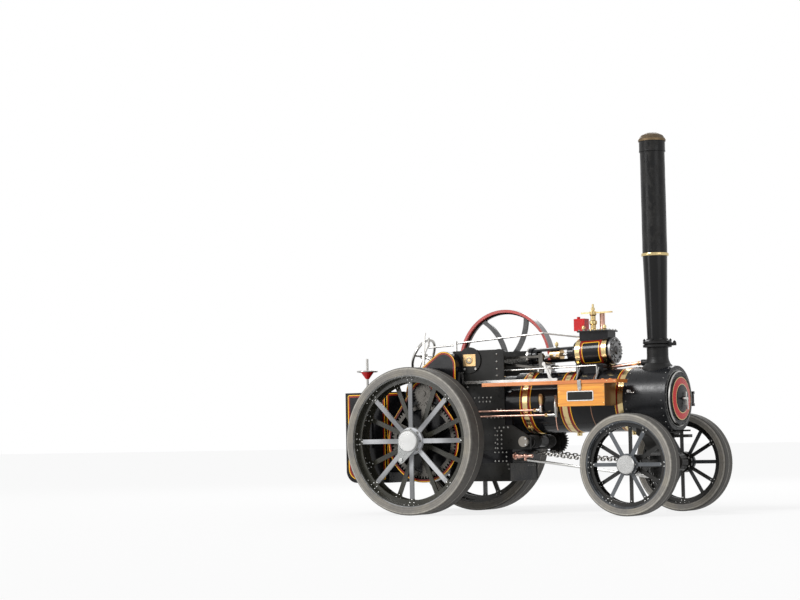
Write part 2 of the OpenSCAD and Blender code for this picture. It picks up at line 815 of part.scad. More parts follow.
module flywheel() {
  r = flywheel_d / 2;
  rim_t = 14;
  hub_r = 36;
  hub_half = 33;
  bend_r = 260;
  first_angle = 94;
  color(red_paint) translate([x_rear + crank_x, 0, crank_z]) difference() {
    union() {
      translate([0, flywheel_y, 0]) rotate([-90, 0, 0]) rotate_extrude($fn = 96)
        polygon([[r - rim_t, -flywheel_w / 2], [r, -flywheel_w / 2], [r, flywheel_w / 2],
          [r - rim_t, flywheel_w / 2], [r - rim_t, 12], [r - rim_t - 8, 6], [r - rim_t - 8, -6],
          [r - rim_t, -12]]);
      disc_y(flywheel_y - hub_half, 2 * hub_half, hub_r);
      for (i = [0 : flywheel_spokes - 1])
        side_plate(flywheel_y - 8, 16) rotate(first_angle + i * 360 / flywheel_spokes)
          curved_spoke(hub_r - 4, r - rim_t - 2, bend_r, 22);
    }
    disc_y(flywheel_y - 60, 120, crank_d / 2 + axle_fit);
  }
}

// Parts of the cylinder casting, in one place so that the bands can be cut round them
block_rear = 748;
block_len = 148;
block_top = crank_z + 119;

module valve_chest() {
  top_half = 40;
  plate_half = 52;
  from_axle() {
    translate([block_rear, -top_half, crank_z + 72]) cube([block_len, 2 * top_half, block_top - crank_z - 79]);
    translate([block_rear - 6, -plate_half, block_top - 7]) cube([block_len + 12, 2 * plate_half, 7]);
    translate([block_rear + 4, 50, crank_z - 22]) cube([block_len - 20, 44, 96]);
  }
}

module saddle_block() {
  seat_h = 72;
  difference() {
    from_axle() translate([block_rear - 6, -72, boiler_z + 100]) cube([142, 144, seat_h]);
    barrel_space();
  }
}

module cylinder_block() {
  core_r = cyl_d / 2 - lagging_t;
  flange_r = cyl_d / 2 - 5;
  color(black_paint) {
    motion_line() translate([cyl_start, 0, 0]) {
      disc_x(cyl_len, core_r);
      translate([cyl_len, 0, 0]) disc_x(10, flange_r);
    }
    valve_chest();
    saddle_block();
  }
}

module cylinder_bands() {
  core_r = cyl_d / 2 - lagging_t;
  band = 24;
  color(brass) difference() {
    motion_line()
      for (d = [cyl_start, cyl_end - band])
        translate([d, 0, 0]) difference() {
          disc_x(band, cyl_d / 2 + 1);
          translate([-1, 0, 0]) disc_x(band + 2, core_r);
        }
    valve_chest();
    saddle_block();
  }
}

module cylinder_cover() {
  cover_r = cyl_d / 2 - 4;
  nuts = 10;
  color(dark_iron) motion_line() translate([cyl_end + 10, 0, 0]) {
    disc_x(10, cover_r);
    translate([10, 0, 0]) disc_x(5, cover_r - 26);
    translate([15, 0, 0]) disc_x(8, 20);
    for (i = [0 : nuts - 1])
      rotate([i * 360 / nuts, 0, 0]) translate([10, cover_r - 12, 0]) disc_x(7, 6, $fn = 6);
  }
}

// Trunk guide: a bored tube with windows in its sides and a foot on the boiler
guide_start = 254;
guide_bore_r = 28;

module trunk_guide() {
  window_start = guide_start + 46;
  window_len = 168;
  window_h = 44;
  rod_r = 7;
  foot_x = crank_x + guide_start + 2;
  color(black_paint) difference() {
    union() {
      motion_line() translate([guide_start, 0, 0]) {
        disc_x(25, guide_d / 2 + 7);
        disc_x(cyl_start - guide_start, guide_d / 2);
        translate([cyl_start - guide_start - 16, 0, 0]) disc_x(16, 56);
      }
      from_axle() translate([foot_x, -26, boiler_z + 100]) cube([20, 52, 90]);
    }
    motion_line() {
      translate([guide_start - 2, 0, 0]) disc_x(cyl_start - guide_start - 10, guide_bore_r);
      translate([window_start, -guide_d, -window_h / 2]) cube([window_len, 2 * guide_d, window_h]);
      translate([guide_start, 0, 0]) disc_x(cyl_start, rod_r);
    }
    barrel_space();
  }
}

module crosshead() {
  half_len = 26;
  slot_w = 20;
  color(bronze) motion_line() difference() {
    translate([crosshead_x - half_len, 0, 0]) disc_x(2 * half_len, guide_bore_r);
    translate([crosshead_x - 40, -slot_w / 2, -30]) cube([40 + half_len - 6, slot_w, 60]);
    translate([crosshead_x, 0, 0]) disc_y(-30, 60, 8);
  }
}

module connecting_rod() {
  v = [crosshead_x - pin_x, -pin_z];
  color(bright_steel) motion_line() {
    side_plate(-9, 18) difference() {
      union() {
        translate([pin_x, pin_z]) rotate(atan2(v[1], v[0]))
          polygon([[0, -14], [40, -12], [norm(v), -7], [norm(v), 7], [40, 12], [0, 14]]);
        translate([pin_x, pin_z]) rotate(atan2(v[1], v[0])) translate([-24, -25]) square([58, 50]);
        translate([crosshead_x, 0]) circle(r = 15);
      }
      translate([pin_x, pin_z]) circle(r = 14);
      translate([crosshead_x, 0]) circle(r = 8);
    }
    translate([crosshead_x, 0, 0]) disc_y(-28, 56, 8);
  }
}

module piston_rod() {
  color(bright_steel) motion_line()
    translate([crosshead_x + 26, 0, 0]) disc_x(cyl_start - crosshead_x - 26, 7);
}

// Two eccentrics, their rods, the curved link and the valve spindle
eccentric_ys = [-62, -80];
link_x = 560;
link_low = 668;
link_high = 738;
weigh_shaft = [612, 698];

module valve_gear() {
  sheave_r = 34;
  rod_t = 8;
  spindle_z = 684;
  color(bright_steel) {
    from_axle() {
      for (i = [0, 1]) {
        low_y = eccentric_ys[i];
        z = i == 0 ? link_high : link_low + 14;
        translate([crank_x, 0, crank_z]) difference() {
          disc_y(low_y, 12, sheave_r);
          disc_y(low_y - 1, 14, crank_d / 2 + axle_fit);
        }
        side_plate(low_y + 2, rod_t)
          flat_link([crank_x + sheave_r + 6, crank_z + (i == 0 ? 6 : -8)], [link_x, z], 11, 20);
      }
      side_plate(-78, 16) intersection() {
        translate([link_x - 330, 703]) difference() {
          circle(r = 342, $fn = 96);
          circle(r = 320, $fn = 96);
        }
        translate([link_x - 20, link_low - 8]) square([40, link_high - link_low + 22]);
      }
      bar_between([link_x + 4, -70, spindle_z], [block_rear - 7, -70, spindle_z], 9);
      translate([link_x + 60, -78, spindle_z - 8]) cube([26, 16, 16]);
    }
  }
}

// Reach rod beside the hornplate, its bell crank, the lever and the weigh shaft
reach_pin = [172, 668];
reach_z = 623;
reach_end = 650;

module reversing_gear() {
  y = -horn_y - 12;
  link_t = 6;
  lever_y = -horn_in + 8;
  lever_pivot = [-66, 560];
  lever_top = [-56, 868];
  stand_x = weigh_shaft[0] - 8;
  color(bright_steel) {
    from_axle() {
      side_plate(y, link_t) {
        flat_link([reach_pin[0] + 6, reach_z], [reach_end + 29, reach_z], 14, 14);
        flat_link([reach_pin[0] + 6, reach_z], reach_pin, 10, 14);
      }
      translate([reach_pin[0], 0, reach_pin[1]]) disc_y(y, -y + lever_y, 5, $fn = 24);
      side_plate(lever_y - link_t, link_t) flat_link(reach_pin, [lever_pivot[0] + 6, 712], 10, 14);
      side_plate(lever_y, link_t) flat_link(lever_pivot, lever_top, 12, 20);
      translate([lever_pivot[0], 0, lever_pivot[1]]) disc_y(-horn_in, 8 + link_t, 8, $fn = 24);
      side_plate(y + link_t, link_t) flat_link([reach_end, reach_z], weigh_shaft, 12, 18);
      translate([weigh_shaft[0], 0, weigh_shaft[1]]) disc_y(y + link_t, -y - 50, 7, $fn = 24);
      side_plate(-56, link_t) flat_link(weigh_shaft, [link_x + 16, link_low + 12], 11, 16);
    }
    difference() {
      from_axle() translate([stand_x, -92, boiler_z + 80]) cube([16, 12, weigh_shaft[1] - boiler_z - 82]);
      barrel_space();
    }
  }
}

// Long rod from the footplate to the two drain cocks under the cylinder
module drain_cocks() {
  rod_y = -100;
  color(bright_steel) difference() {
    from_axle() {
      bar_between([horn_front - 200, rod_y, 672], [block_rear + 116, rod_y, 684], 7);
      for (x = [block_rear + 12, block_rear + 112]) {
        bar_between([x, -68, 674], [x + 8, -122, 617], 10);
        bar_between([x + 4, rod_y, 683], [x + 4, rod_y, 642], 6);
      }
      translate([horn_front - 206, rod_y - 3, 640]) cube([8, 6, 30]);
      translate([horn_front - 206, -horn_in, 644]) cube([8, horn_in + rod_y, 8]);
    }
    saddle_block();
  }
}

// Turned brass column and a copper column under one long lever
module safety_valves() {
  column_x = block_rear + 54;
  lever_z = block_top + 85;
  color(brass) from_axle() {
    translate([column_x, 0, block_top]) rotate_extrude($fn = 32)
      polygon([[0, 0], [26, 0], [26, 7], [13, 11], [13, 28], [18, 33], [18, 46], [12, 52],
        [12, 70], [16, 76], [16, 92], [9, 96], [9, 108], [5, 112], [5, 126], [0, 126]]);
    translate([column_x + 33, 30, block_top]) {
      cylinder(h = 84, d = 24, $fn = 32);
      cylinder(h = 8, d = 34, $fn = 32);
    }
    translate([block_rear - 8, -4, lever_z - 3]) cube([162, 8, 7]);
    translate([column_x + 20, 0, lever_z - 2]) cube([26, 36, 4]);
  }
}

module lubricator() {
  color(red_paint) from_axle() {
    translate([block_rear - 56, 14, block_top + 4]) cube([56, 48, 58]);
    translate([block_rear - 30, 24, block_top]) cube([44, 28, 4]);
    translate([block_rear - 42, 38, block_top + 62]) cylinder(h = 10, d = 16, $fn = 24);
  }
}

// Regulator linkage on a post on the right hornplate
module regulator_rod() {
  post_x = 125;
  post_y = 0.3 - horn_y;
  rod_y = post_y + 8;
  color(bright_steel) from_axle() {
    translate([post_x, post_y, horn_top]) cube([10, 12, 48]);
    bar_between([-25, rod_y, 799], [post_x + 5, rod_y, 806], 8);
    bar_between([-25, rod_y, 797], [-23, rod_y, 848], 9);
    bar_between([post_x, rod_y, 813], [578, -85, 846], 9);
    bar_between([578, -85, 846], [block_rear - 2, -30, 822], 8);
    translate([578, -85, 846]) sphere(d = 13, $fn = 24);
  }
}

module exhaust_pipe() {
  pipe_d = 16;
  start = [block_rear + 137, 0, boiler_z + barrel_r + pipe_d / 2 + 0.6];
  end = [chimney_x - 81, 0, boiler_z + smokebox_r + 20];
  color(copper) from_axle() bar_between(start, end, pipe_d);
}

// Gearing

// Final gear with spokes, its pinion, and the first pair between the hornplates
module drive_gears() {
  y0 = -guard_y + 5;
  mesh_y = -114;
  tooth = 360 / pinion_teeth / 2;
  second_teeth = round(2 * second_gear_r / crank_module);
  crank_teeth = round(2 * crank_pinion_r / crank_module);
  line_angle = atan2(crank_z - second_shaft[1], crank_x - second_shaft[0]);
  rim_in = final_r - 22;
  hub_r = 52;
  color(dark_iron) from_axle() {
    side_plate(y0, gear_w) difference() {
      union() {
        difference() {
          translate([0, rear_r]) rotate(90) gear_flat(final_module, final_teeth);
          translate([0, rear_r]) circle(r = rim_in);
        }
        translate([0, rear_r]) circle(r = hub_r);
        for (i = [0 : 5])
          translate([0, rear_r]) rotate(30 + i * 60)
            polygon([[hub_r - 4, -16], [rim_in + 2, -10], [rim_in + 2, 10], [hub_r - 4, 16]]);
      }
      translate([0, rear_r]) circle(r = rear_axle_d / 2);
    }
    side_plate(y0, gear_w) translate(third_shaft) rotate(-90 + tooth) gear_flat(final_module, pinion_teeth);
    translate([third_shaft[0], 0, third_shaft[1]]) disc_y(y0 - 3, -tender_half - 4 - y0 + 3, 15);
    side_plate(mesh_y, gear_w - 2) translate(second_shaft) rotate(line_angle)
      gear_flat(2 * second_gear_r / second_teeth, second_teeth);
    translate([second_shaft[0], 0, second_shaft[1]]) disc_y(-horn_in, 2 * horn_in, 12);
    side_plate(mesh_y, gear_w - 2) difference() {
      translate([crank_x, crank_z]) rotate(180 + line_angle + 180 / crank_teeth)
        gear_flat(2 * crank_pinion_r / crank_teeth, crank_teeth);
      translate([crank_x, crank_z]) circle(r = crank_d / 2);
    }
  }
}

// Outline of the final drive guard: a ring drawn up to a lobe over the pinion
module final_outline(inset) {
  hull() {
    translate([0, rear_r]) circle(r = guard_rim_r - inset, $fn = 96);
    translate(third_shaft) circle(r = pinion_guard_r - inset, $fn = 48);
  }
}

// Outline of the upper housing over the second pair of gears
module upper_outline() {
  lobe = 67;
  hull() {
    translate(third_shaft) circle(r = 116, $fn = 64);
    translate(second_shaft) circle(r = lobe, $fn = 48);
    translate([second_shaft[0], third_shaft[1]]) circle(r = lobe, $fn = 48);
  }
}

module gear_guard() {
  wall = 4;
  lip = 16;
  depth = guard_y - tender_half;
  color(black_paint) from_axle() {
    difference() {
      side_plate(-guard_y, depth) final_outline(0);
      side_plate(wall - guard_y, depth - 2 * wall) final_outline(wall);
      side_plate(-guard_y - 1, wall + 2) final_outline(lip);
      translate([0, 0, rear_r]) disc_y(-tender_half - wall - 1, wall + 2, rear_axle_d / 2 + 15);
    }
    side_plate(-tender_half, tender_half - horn_y - 0.3) upper_outline();
  }
}

// Tender and stand

module tender() {
  wall = 6;
  corner = 60;
  len = tender_rear - tender_front;
  floor_z = tender_z + 230;
  wing_front = tender_front - 95;
  color(black_paint) from_axle() {
    difference() {
      side_plate(-tender_half, 2 * tender_half)
        difference() {
          translate([-tender_rear, tender_z]) square([len, tender_top - tender_z]);
          difference() {
            translate([-tender_rear, tender_z]) square(corner);
            translate([corner - tender_rear, tender_z + corner]) circle(r = corner);
          }
        }
      translate([wall - tender_rear, wall - tender_half, floor_z])
        cube([len - 2 * wall, 2 * (tender_half - wall), tender_top]);
    }
    for (y = [-tender_half, tender_half - wall])
      side_plate(y, wall)
        translate([-tender_front, tender_z + 50]) square([tender_front - wing_front, tender_top - tender_z - 50]);
  }
}

module footplate() {
  color(dark_iron) from_axle()
    translate([-tender_front, -horn_in, tender_z + 234])
      cube([tender_front + firebox_rear, 2 * horn_in, 8]);
}

drawbar_z = 220;

module drawbar() {
  eye_r = 22;
  bar_t = 16;
  color(bright_steel) from_axle() difference() {
    union() {
      translate([eye_r - drawbar_reach, -eye_r, drawbar_z])
        cube([drawbar_reach - tender_rear - eye_r, 2 * eye_r, bar_t]);
      translate([eye_r - drawbar_reach, 0, drawbar_z]) cylinder(h = bar_t, r = eye_r);
      translate([-tender_rear - 6, -50, drawbar_z - 20]) cube([6, 100, 56]);
    }
    translate([eye_r - drawbar_reach, 0, drawbar_z - 10]) cylinder(h = 40, d = 20);
  }
}

// Screw brake column beside the tender with its horizontal handwheel
module brake_column() {
  x = -tender_rear + 145;
  y = -tender_half - 20;
  rim_z = tender_top + 102;
  color(bright_steel) from_axle() translate([x, y, 0]) {
    translate([0, 0, 319]) cylinder(h = 435, d = 12, $fn = 24);
    translate([0, 0, rim_z - 36]) cylinder(h = 34, d1 = 16, d2 = 64);
    translate([0, 0, rim_z]) rotate_extrude() translate([48, 0]) circle(r = 4, $fn = 16);
    for (a = [0 : 60 : 120])
      translate([0, 0, rim_z]) rotate([0, 0, a]) translate([-47, -3, -2]) cube([94, 6, 4]);
    for (z = [340, 560])
      translate([-12, -10, z]) cube([24, 30, 14]);
  }
}

// Steering

module steering_shaft() {
  turns = 5;
  turn_pitch = 12;
  color(bright_steel) from_axle() translate([drum_x, 0, drum_z]) {
    disc_y(-worm_y - 2, 2 * worm_y + 12, shaft_r);
    disc_y(-110, 220, drum_d / 2);
    for (s = [-1, 1], i = [0 : turns - 1])
      translate([0, s * (44 + i * turn_pitch), 0]) rotate([90, 0, 0])
        rotate_extrude() translate([drum_d / 2 + 1, 0]) circle(r = 3.5, $fn = 12);
  }
  color(dark_iron) from_axle() translate([drum_x, 0, drum_z])
    side_plate(worm_y - 7, 14) gear_flat(4, round(worm_wheel_r / 2) - 2);
}

module steering_column() {
  low = [worm_x, worm_y, worm_z];
  high = low + column_dir * column_len;
  rim_r = 88;
  color(bright_steel) from_axle() {
    bar_between(low - column_dir * 46, high, 14);
    bar_between(low - column_dir * 26, low + column_dir * 30, 2 * worm_r - 8);
    translate(high) rotate([0, column_tilt - 90, 0]) {
      rotate_extrude() translate([rim_r, 0]) circle(r = 7, $fn = 16);
      for (a = [0, 90])
        rotate([0, 0, a]) translate([2 - rim_r, -5, -4]) cube([2 * rim_r - 4, 10, 8]);
      translate([0, 0, -12]) cylinder(h = 24, r = 18);
    }
    for (x = [horn_front - 45, 60]) {
      z = worm_z + (worm_x - x) * tan(column_tilt);
      translate([x - 10, horn_y, z - 14]) cube([20, worm_y - horn_y, 28]);
    }
  }
}

// A steering chain: links turned alternately, hung in a shallow sag from drum to axle eye
function chain_at(p, q, sag, t) = p + (q - p) * t - [0, 0, 4 * sag * t * (1 - t)];

// One flat link with room for its neighbours' wire
module chain_link(len) {
  r = link_wire * 1.6;
  half = len / 2;
  linear_extrude(link_wire, center = true) difference() {
    polygon([[-half, -r / 3], [r / 2 - half, -r], [half - r / 2, -r], [half, -r / 3],
      [half, r / 3], [half - r / 2, r], [r / 2 - half, r], [-half, r / 3]]);
    square([len - 2 * link_wire, 2 * (r - link_wire)], center = true);
  }
}

module steering_chain(side) {
  eye_d = 24;
  eye_h = 12;
  sag = 14;
  link_play = 0.3;
  start = [drum_x - 4, side * 75, drum_z - drum_d / 2 - 19];
  end = [wheelbase - chain_eye_back - eye_d / 2 - 2, side * chain_eye_y, chain_eye_z];
  count = round(norm(end - start) / (link_len - 2 * link_wire - link_play));
  pitch = norm(end - start) / count;
  color(bright_steel) from_axle() {
    for (i = [0 : count - 1]) {
      p = chain_at(start, end, sag, i / count);
      q = chain_at(start, end, sag, (i + 1) / count);
      v = q - p;
      translate((p + q) / 2)
        rotate([0, acos(v[2] / norm(v)) - 90, atan2(v[1], v[0])])
          rotate([(i % 2) * 90, 0, 0]) chain_link(pitch + 2 * link_wire + link_play);
    }
    difference() {
      translate([wheelbase - chain_eye_back, side * chain_eye_y, chain_eye_z - eye_h / 2])
        cylinder(h = eye_h, d = eye_d, $fn = 24);
      translate([wheelbase - chain_eye_back, side * chain_eye_y, chain_eye_z - eye_h])
        cylinder(h = 2 * eye_h, d = eye_pin_d + 2 * axle_fit, $fn = 24);
    }
  }
}

// Fittings

module toolbox() {
  color(varnished_wood) from_axle() translate([box_x, -box_y, box_top - box_h]) difference() {
    cube([box_len, box_w, box_h]);
    translate([box_t, box_t, box_t]) cube([box_len - 2 * box_t, box_w - 2 * box_t, box_h]);
  }
}

// Two flat brackets hold the box off the barrel and end in the lid's hinge pins
bracket_places = [box_x + 30, box_x + box_len - 54];
bracket_w = 24;
lid_hinge_y = box_w - box_y - 4;
lid_hinge_z = box_top + seat_gap + lid_t;
lid_pin_r = 3;
knuckle_r = 7;
knuckle_w = 12;

module box_brackets() {
  inner = box_y - box_w;
  color(dark_iron) for (x = bracket_places) {
    difference() {
      from_axle() {
        translate([x, -inner, box_top - 70]) cube([bracket_w, inner - 60, 36]);
        translate([x, -inner, box_top - 70]) cube([bracket_w, 6, 70 + lid_t]);
        translate([x, lid_hinge_y, lid_hinge_z]) disc_x(bracket_w, knuckle_r - 1, $fn = 24);
      }
      barrel_space();
    }
    from_axle() translate([x - knuckle_w, lid_hinge_y, lid_hinge_z])
      disc_x(bracket_w + 2 * knuckle_w, lid_pin_r, $fn = 24);
  }
}

// The long board is the lid: its inner edge is cut away round the brackets
module toolbox_lid() {
  z = box_top + seat_gap;
  gap = 1;
  color(varnished_wood) from_axle() difference() {
    union() {
      translate([lid_x, -box_y - 4, z]) cube([lid_len, box_w, lid_t]);
      for (x = bracket_places, s = [-1, 1])
        translate([x + (s < 0 ? -knuckle_w - gap : bracket_w + gap), lid_hinge_y, lid_hinge_z])
          disc_x(knuckle_w, knuckle_r, $fn = 24);
    }
    for (x = bracket_places)
      translate([x - gap, lid_hinge_y - knuckle_r - 2, z - 1])
        cube([bracket_w + 2 * gap, knuckle_r + 20, lid_t + 20]);
    translate([lid_x - 1, lid_hinge_y, lid_hinge_z]) disc_x(lid_len + 2, lid_pin_r + axle_fit, $fn = 24);
  }
}

// Two feed pipes along the right side, each ending in a check valve on the barrel
module feed_pipes() {
  y = -horn_y - 13;
  rear_x = 203;
  valve_back = [151, 73]; // valves behind the toolbox
  lines = [[484, box_x - valve_back[0], 516], [460, box_x - valve_back[1], 498]]; // pipe height, valve place, valve height
  color(copper) difference() {
    from_axle() for (line = lines) {
      pipe_z = line[0];
      valve_x = line[1];
      bar_between([rear_x, y, pipe_z], [valve_x, y, pipe_z], 9);
      translate([rear_x, 0, pipe_z]) disc_y(y, -horn_y - 0.3 - y, 6, $fn = 24);
      translate([valve_x, y, pipe_z - 9]) cylinder(h = line[2] - pipe_z + 34, d = 13, $fn = 24);
      translate([valve_x, y, line[2] - 8]) cylinder(h = 28, d = 20, $fn = 24);
      translate([valve_x, 0, line[2]]) disc_y(y, 60, 7, $fn = 24);
    }
    barrel_space();
  }
}

module firehole_door() {
  color(dark_iron) from_axle() translate([fire_hinge_x, 0, firehole_z]) {
    disc_x(7, firehole_r + 8);
    difference() {
      union() {
        translate([0, 30, -14]) cube([7, fire_hinge_y - 30, 28]);
        translate([0, fire_hinge_y, -14]) cylinder(h = 28, d = 14, $fn = 24);
      }
      translate([0, fire_hinge_y, -15]) cylinder(h = 30, d = 8 + 2 * axle_fit, $fn = 24);
    }
  }
}

boiler();
boiler_bands();
firebox();
grate();
ashpan();
smokebox();
chimney_base();
chimney();
chimney_extension();
spark_cap();
perch();
union() {
  hornplates();
  axle_boxes();
}
steering_brackets();
rear_axle();
crankshaft();
crank_bearings();
cylinder_block();
cylinder_bands();
cylinder_cover();
trunk_guide();
crosshead();
connecting_rod();
piston_rod();
valve_gear();
reversing_gear();
drain_cocks();
safety_valves();
lubricator();
regulator_rod();
exhaust_pipe();
drive_gears();
gear_guard();
tender();
footplate();
drawbar();
brake_column();
steering_column();
steering_shaft();
steering_chain(-1);  // steering_chain_right
steering_chain(1);  // steering_chain_left
toolbox();
box_brackets();
feed_pipes();
front_axle();
rear_wheel(-1);  // rear_wheel_right
rear_wheel(1);  // rear_wheel_left
front_wheel(-1);  // front_wheel_right
front_wheel(1);  // front_wheel_left
rear_tyre(-1);  // rear_tyre_right
rear_tyre(1);  // rear_tyre_left
front_tyre(-1);  // front_tyre_right
front_tyre(1);  // front_tyre_left
rear_cap(-1);  // hub_cap_rear_right
rear_cap(1);  // hub_cap_rear_left
front_cap(-1);  // hub_cap_front_right
front_cap(1);  // hub_cap_front_left
flywheel();
smokebox_door();
toolbox_lid();
firehole_door();
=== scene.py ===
"""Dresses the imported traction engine: finishes, lining, fastenings, chains, small fittings and the studio."""

import json
import math
from collections import namedtuple
from functools import partialmethod

import bmesh
import bpy
import numpy as np
from bpy.props import FloatProperty, FloatVectorProperty, IntProperty, PointerProperty
from mathutils import Matrix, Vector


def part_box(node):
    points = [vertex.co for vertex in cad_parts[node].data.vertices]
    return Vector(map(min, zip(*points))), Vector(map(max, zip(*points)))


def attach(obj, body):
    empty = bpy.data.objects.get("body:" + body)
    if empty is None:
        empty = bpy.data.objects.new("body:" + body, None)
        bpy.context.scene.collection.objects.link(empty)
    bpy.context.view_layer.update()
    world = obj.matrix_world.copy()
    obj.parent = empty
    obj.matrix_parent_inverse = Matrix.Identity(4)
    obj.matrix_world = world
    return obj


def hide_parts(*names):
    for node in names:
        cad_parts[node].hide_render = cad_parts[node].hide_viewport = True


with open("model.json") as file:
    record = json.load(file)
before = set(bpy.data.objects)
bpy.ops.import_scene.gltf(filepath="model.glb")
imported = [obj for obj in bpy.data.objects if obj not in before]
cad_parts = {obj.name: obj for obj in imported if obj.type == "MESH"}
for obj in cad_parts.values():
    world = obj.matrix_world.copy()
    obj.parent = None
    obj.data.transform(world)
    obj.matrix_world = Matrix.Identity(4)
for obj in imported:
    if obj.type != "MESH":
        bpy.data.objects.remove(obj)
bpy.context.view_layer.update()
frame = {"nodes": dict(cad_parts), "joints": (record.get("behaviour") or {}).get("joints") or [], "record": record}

bl_info = {
    "name": "Miniature Traction Engine",
    "version": (1, 0, 0),
    "blender": (4, 5, 0),
    "location": "3D View > Sidebar > Traction Engine",
    "description": "Finishes, lining and fittings for a packed miniature traction engine",
    "category": "Object",
}

JOINTS = {j["name"]: j for j in frame["joints"]}
REAR_AXLE = JOINTS["rear_wheel_right_spin"]["pos_m"]
FRONT_AXLE = JOINTS["front_wheel_right_spin"]["pos_m"]
AXLE_X = REAR_AXLE[0]

# Ways, and places in millimetres, X from the rear axle and Z from the ground
FORWARD, BACK, LEFT, RIGHT, UP = (1, 0, 0), (-1, 0, 0), (0, 1, 0), (0, -1, 0), (0, 0, 1)
SIDES = ((-1, "right"), (1, "left"))
WHEELBASE = (FRONT_AXLE[0] - REAR_AXLE[0]) * 1000
BOILER_Z = 522.0
BARREL_R = 146.0
SMOKEBOX_REAR, SMOKEBOX_FRONT, SMOKEBOX_R = WHEELBASE - 94, WHEELBASE + 113, 150.0
BANDS = (495.0, 705.0, 990.0)
BAND_W = 26.0
CLAMP_TURN = math.radians(38)
CRANK = (210.0, 730.0)
TILT = math.radians(2)
MOTION_START = (CRANK[0], 0, CRANK[1])
MOTION_WAY = (math.cos(TILT), 0, math.sin(TILT))
HORN_Y = 140.0
GUARD_Y = 238.0
UPPER_GUARD_Y = 200.0
TENDER_Y = 200.0
TENDER_BACK = -470.0
THIRD_SHAFT = (0.0, 575.0)
DRUM = (507, 338)
CHIMNEY_X = WHEELBASE + 16
BOX_FACE_Y = -268
CHEST_TOP = 849
BACK_PLATE_X = 60.0
FIREHOLE_Z = 470
PIPE_Y = -HORN_Y - 13
SHARP = math.radians(40.0)

Wheel = namedtuple("Wheel", "name slot x z track rim_r row spokes spread foot_r foot_face half_foot flange_r "
                            "flange_face head")
WHEELS = (
    Wheel(name="rear", slot="wheel_iron", x=0.0, z=REAR_AXLE[2] * 1000, track=317, rim_r=303.0,
          row=28, spokes=16, spread=5.0, foot_r=291, foot_face=4, half_foot=12, flange_r=57, flange_face=7,
          head=4.0),
    Wheel(name="front", slot="wheel_black", x=WHEELBASE, z=FRONT_AXLE[2] * 1000, track=292, rim_r=190.0,
          row=18, spokes=12, spread=7.0, foot_r=180, foot_face=3, half_foot=9, flange_r=40, flange_face=5.5,
          head=3.4),
)


# Surfaces

def unit(v):
    """Each vector divided by its own length."""
    return v / np.maximum(np.linalg.norm(v, axis=-1, keepdims=True), 1e-12)


def lattice(points, closed=False):
    """A grid of points as a skin: quads between neighbours, round each row, and one face on each open end."""
    nu, nv = points.shape[:2]
    i = np.arange(nu if closed else nu - 1)[:, None]
    j = np.arange(nv)[None, :]
    i2, j2 = (i + 1) % nu, (j + 1) % nv
    corners = np.broadcast_arrays(i * nv + j, i2 * nv + j, i2 * nv + j2, i * nv + j2)
    faces = [np.stack(corners, -1).reshape(-1, 4)]
    if not closed:
        faces += [np.arange(nv)[None, :], ((nu - 1) * nv + np.arange(nv))[None, :]]
    return points.reshape(-1, 3), faces


def basis(axis):
    """Two directions square to the axis and to each other."""
    a = unit(np.asarray(axis, float))
    ref = np.where(np.abs(a[..., 2:3]) > 0.9, np.array([1.0, 0, 0]), np.array([0, 0, 1.0]))
    s = unit(np.cross(ref, a))
    return s, np.cross(a, s)


def full_turn(n, start=0.0):
    """N even steps of a whole turn."""
    return np.linspace(0, 2 * np.pi, n, endpoint=False) + start


def circle_profile(r, n):
    """Points r cos t, r sin t for n even steps of t."""
    t = full_turn(n)
    return np.stack([r * np.cos(t), r * np.sin(t)], -1)


def strip(half, low, high):
    """Profile of a flat bar: half its width to each side, from low to high."""
    return [(-half, low), (half, low), (half, high), (-half, high)]


def revolve(profile, centre, axis, n=48):
    """At turn t: centre + along times the axis + radius times (cos t, sin t), for each (radius, along)."""
    p = np.asarray(profile, float)
    s, t = basis(axis)
    turn = full_turn(n)[:, None, None]
    a = unit(np.asarray(axis, float))
    out = np.cos(turn) * s + np.sin(turn) * t
    return lattice(np.asarray(centre, float) + p[None, :, 1:2] * a + p[None, :, 0:1] * out, True)


def hoop(r, start, end, rise, centre=(0, 0, BOILER_Z), axis=FORWARD, n=128):
    """A thin ring round a drum, from start to end along it, sunk 0.2 mm and proud by the rise."""
    return revolve([(r - 0.2, start), (r + rise, start), (r + rise, end), (r - 0.2, end)], centre, axis, n)


def sweep(path, profile, up, closed=False):
    """Each profile point (a, b) lies a to the side of the path and b towards up, at every point of it."""
    path = np.asarray(path, float)
    step = np.roll(path, -1, 0) - np.roll(path, 1, 0) if closed else np.gradient(path, axis=0)
    side = unit(np.cross(step, np.broadcast_to(np.asarray(up, float), path.shape)))
    top = unit(np.cross(side, step))
    p = np.asarray(profile, float)
    return lattice(path[:, None] + p[None, :, :1] * side[:, None] + p[None, :, 1:] * top[:, None], closed)


def tube(path, r, n):
    """A circle of radius r and n sides carried along an open path."""
    path = np.asarray(path, float)
    run = unit(path[-1] - path[0])
    return sweep(path, circle_profile(r, n), FORWARD if abs(run[2]) > 0.9 else UP)


def slab(outline, low, high, flat="xz"):
    """An outline in that plane repeated at two heights over it, with the sides and both ends closed."""
    o = np.asarray(outline, float)
    a, b, h = {"xz": (0, 2, 1), "xy": (0, 1, 2)}[flat]
    pts = np.zeros((2, len(o), 3))
    pts[:, :, a], pts[:, :, b] = o[:, 0], o[:, 1]
    pts[0, :, h], pts[1, :, h] = low, high
    return lattice(pts)


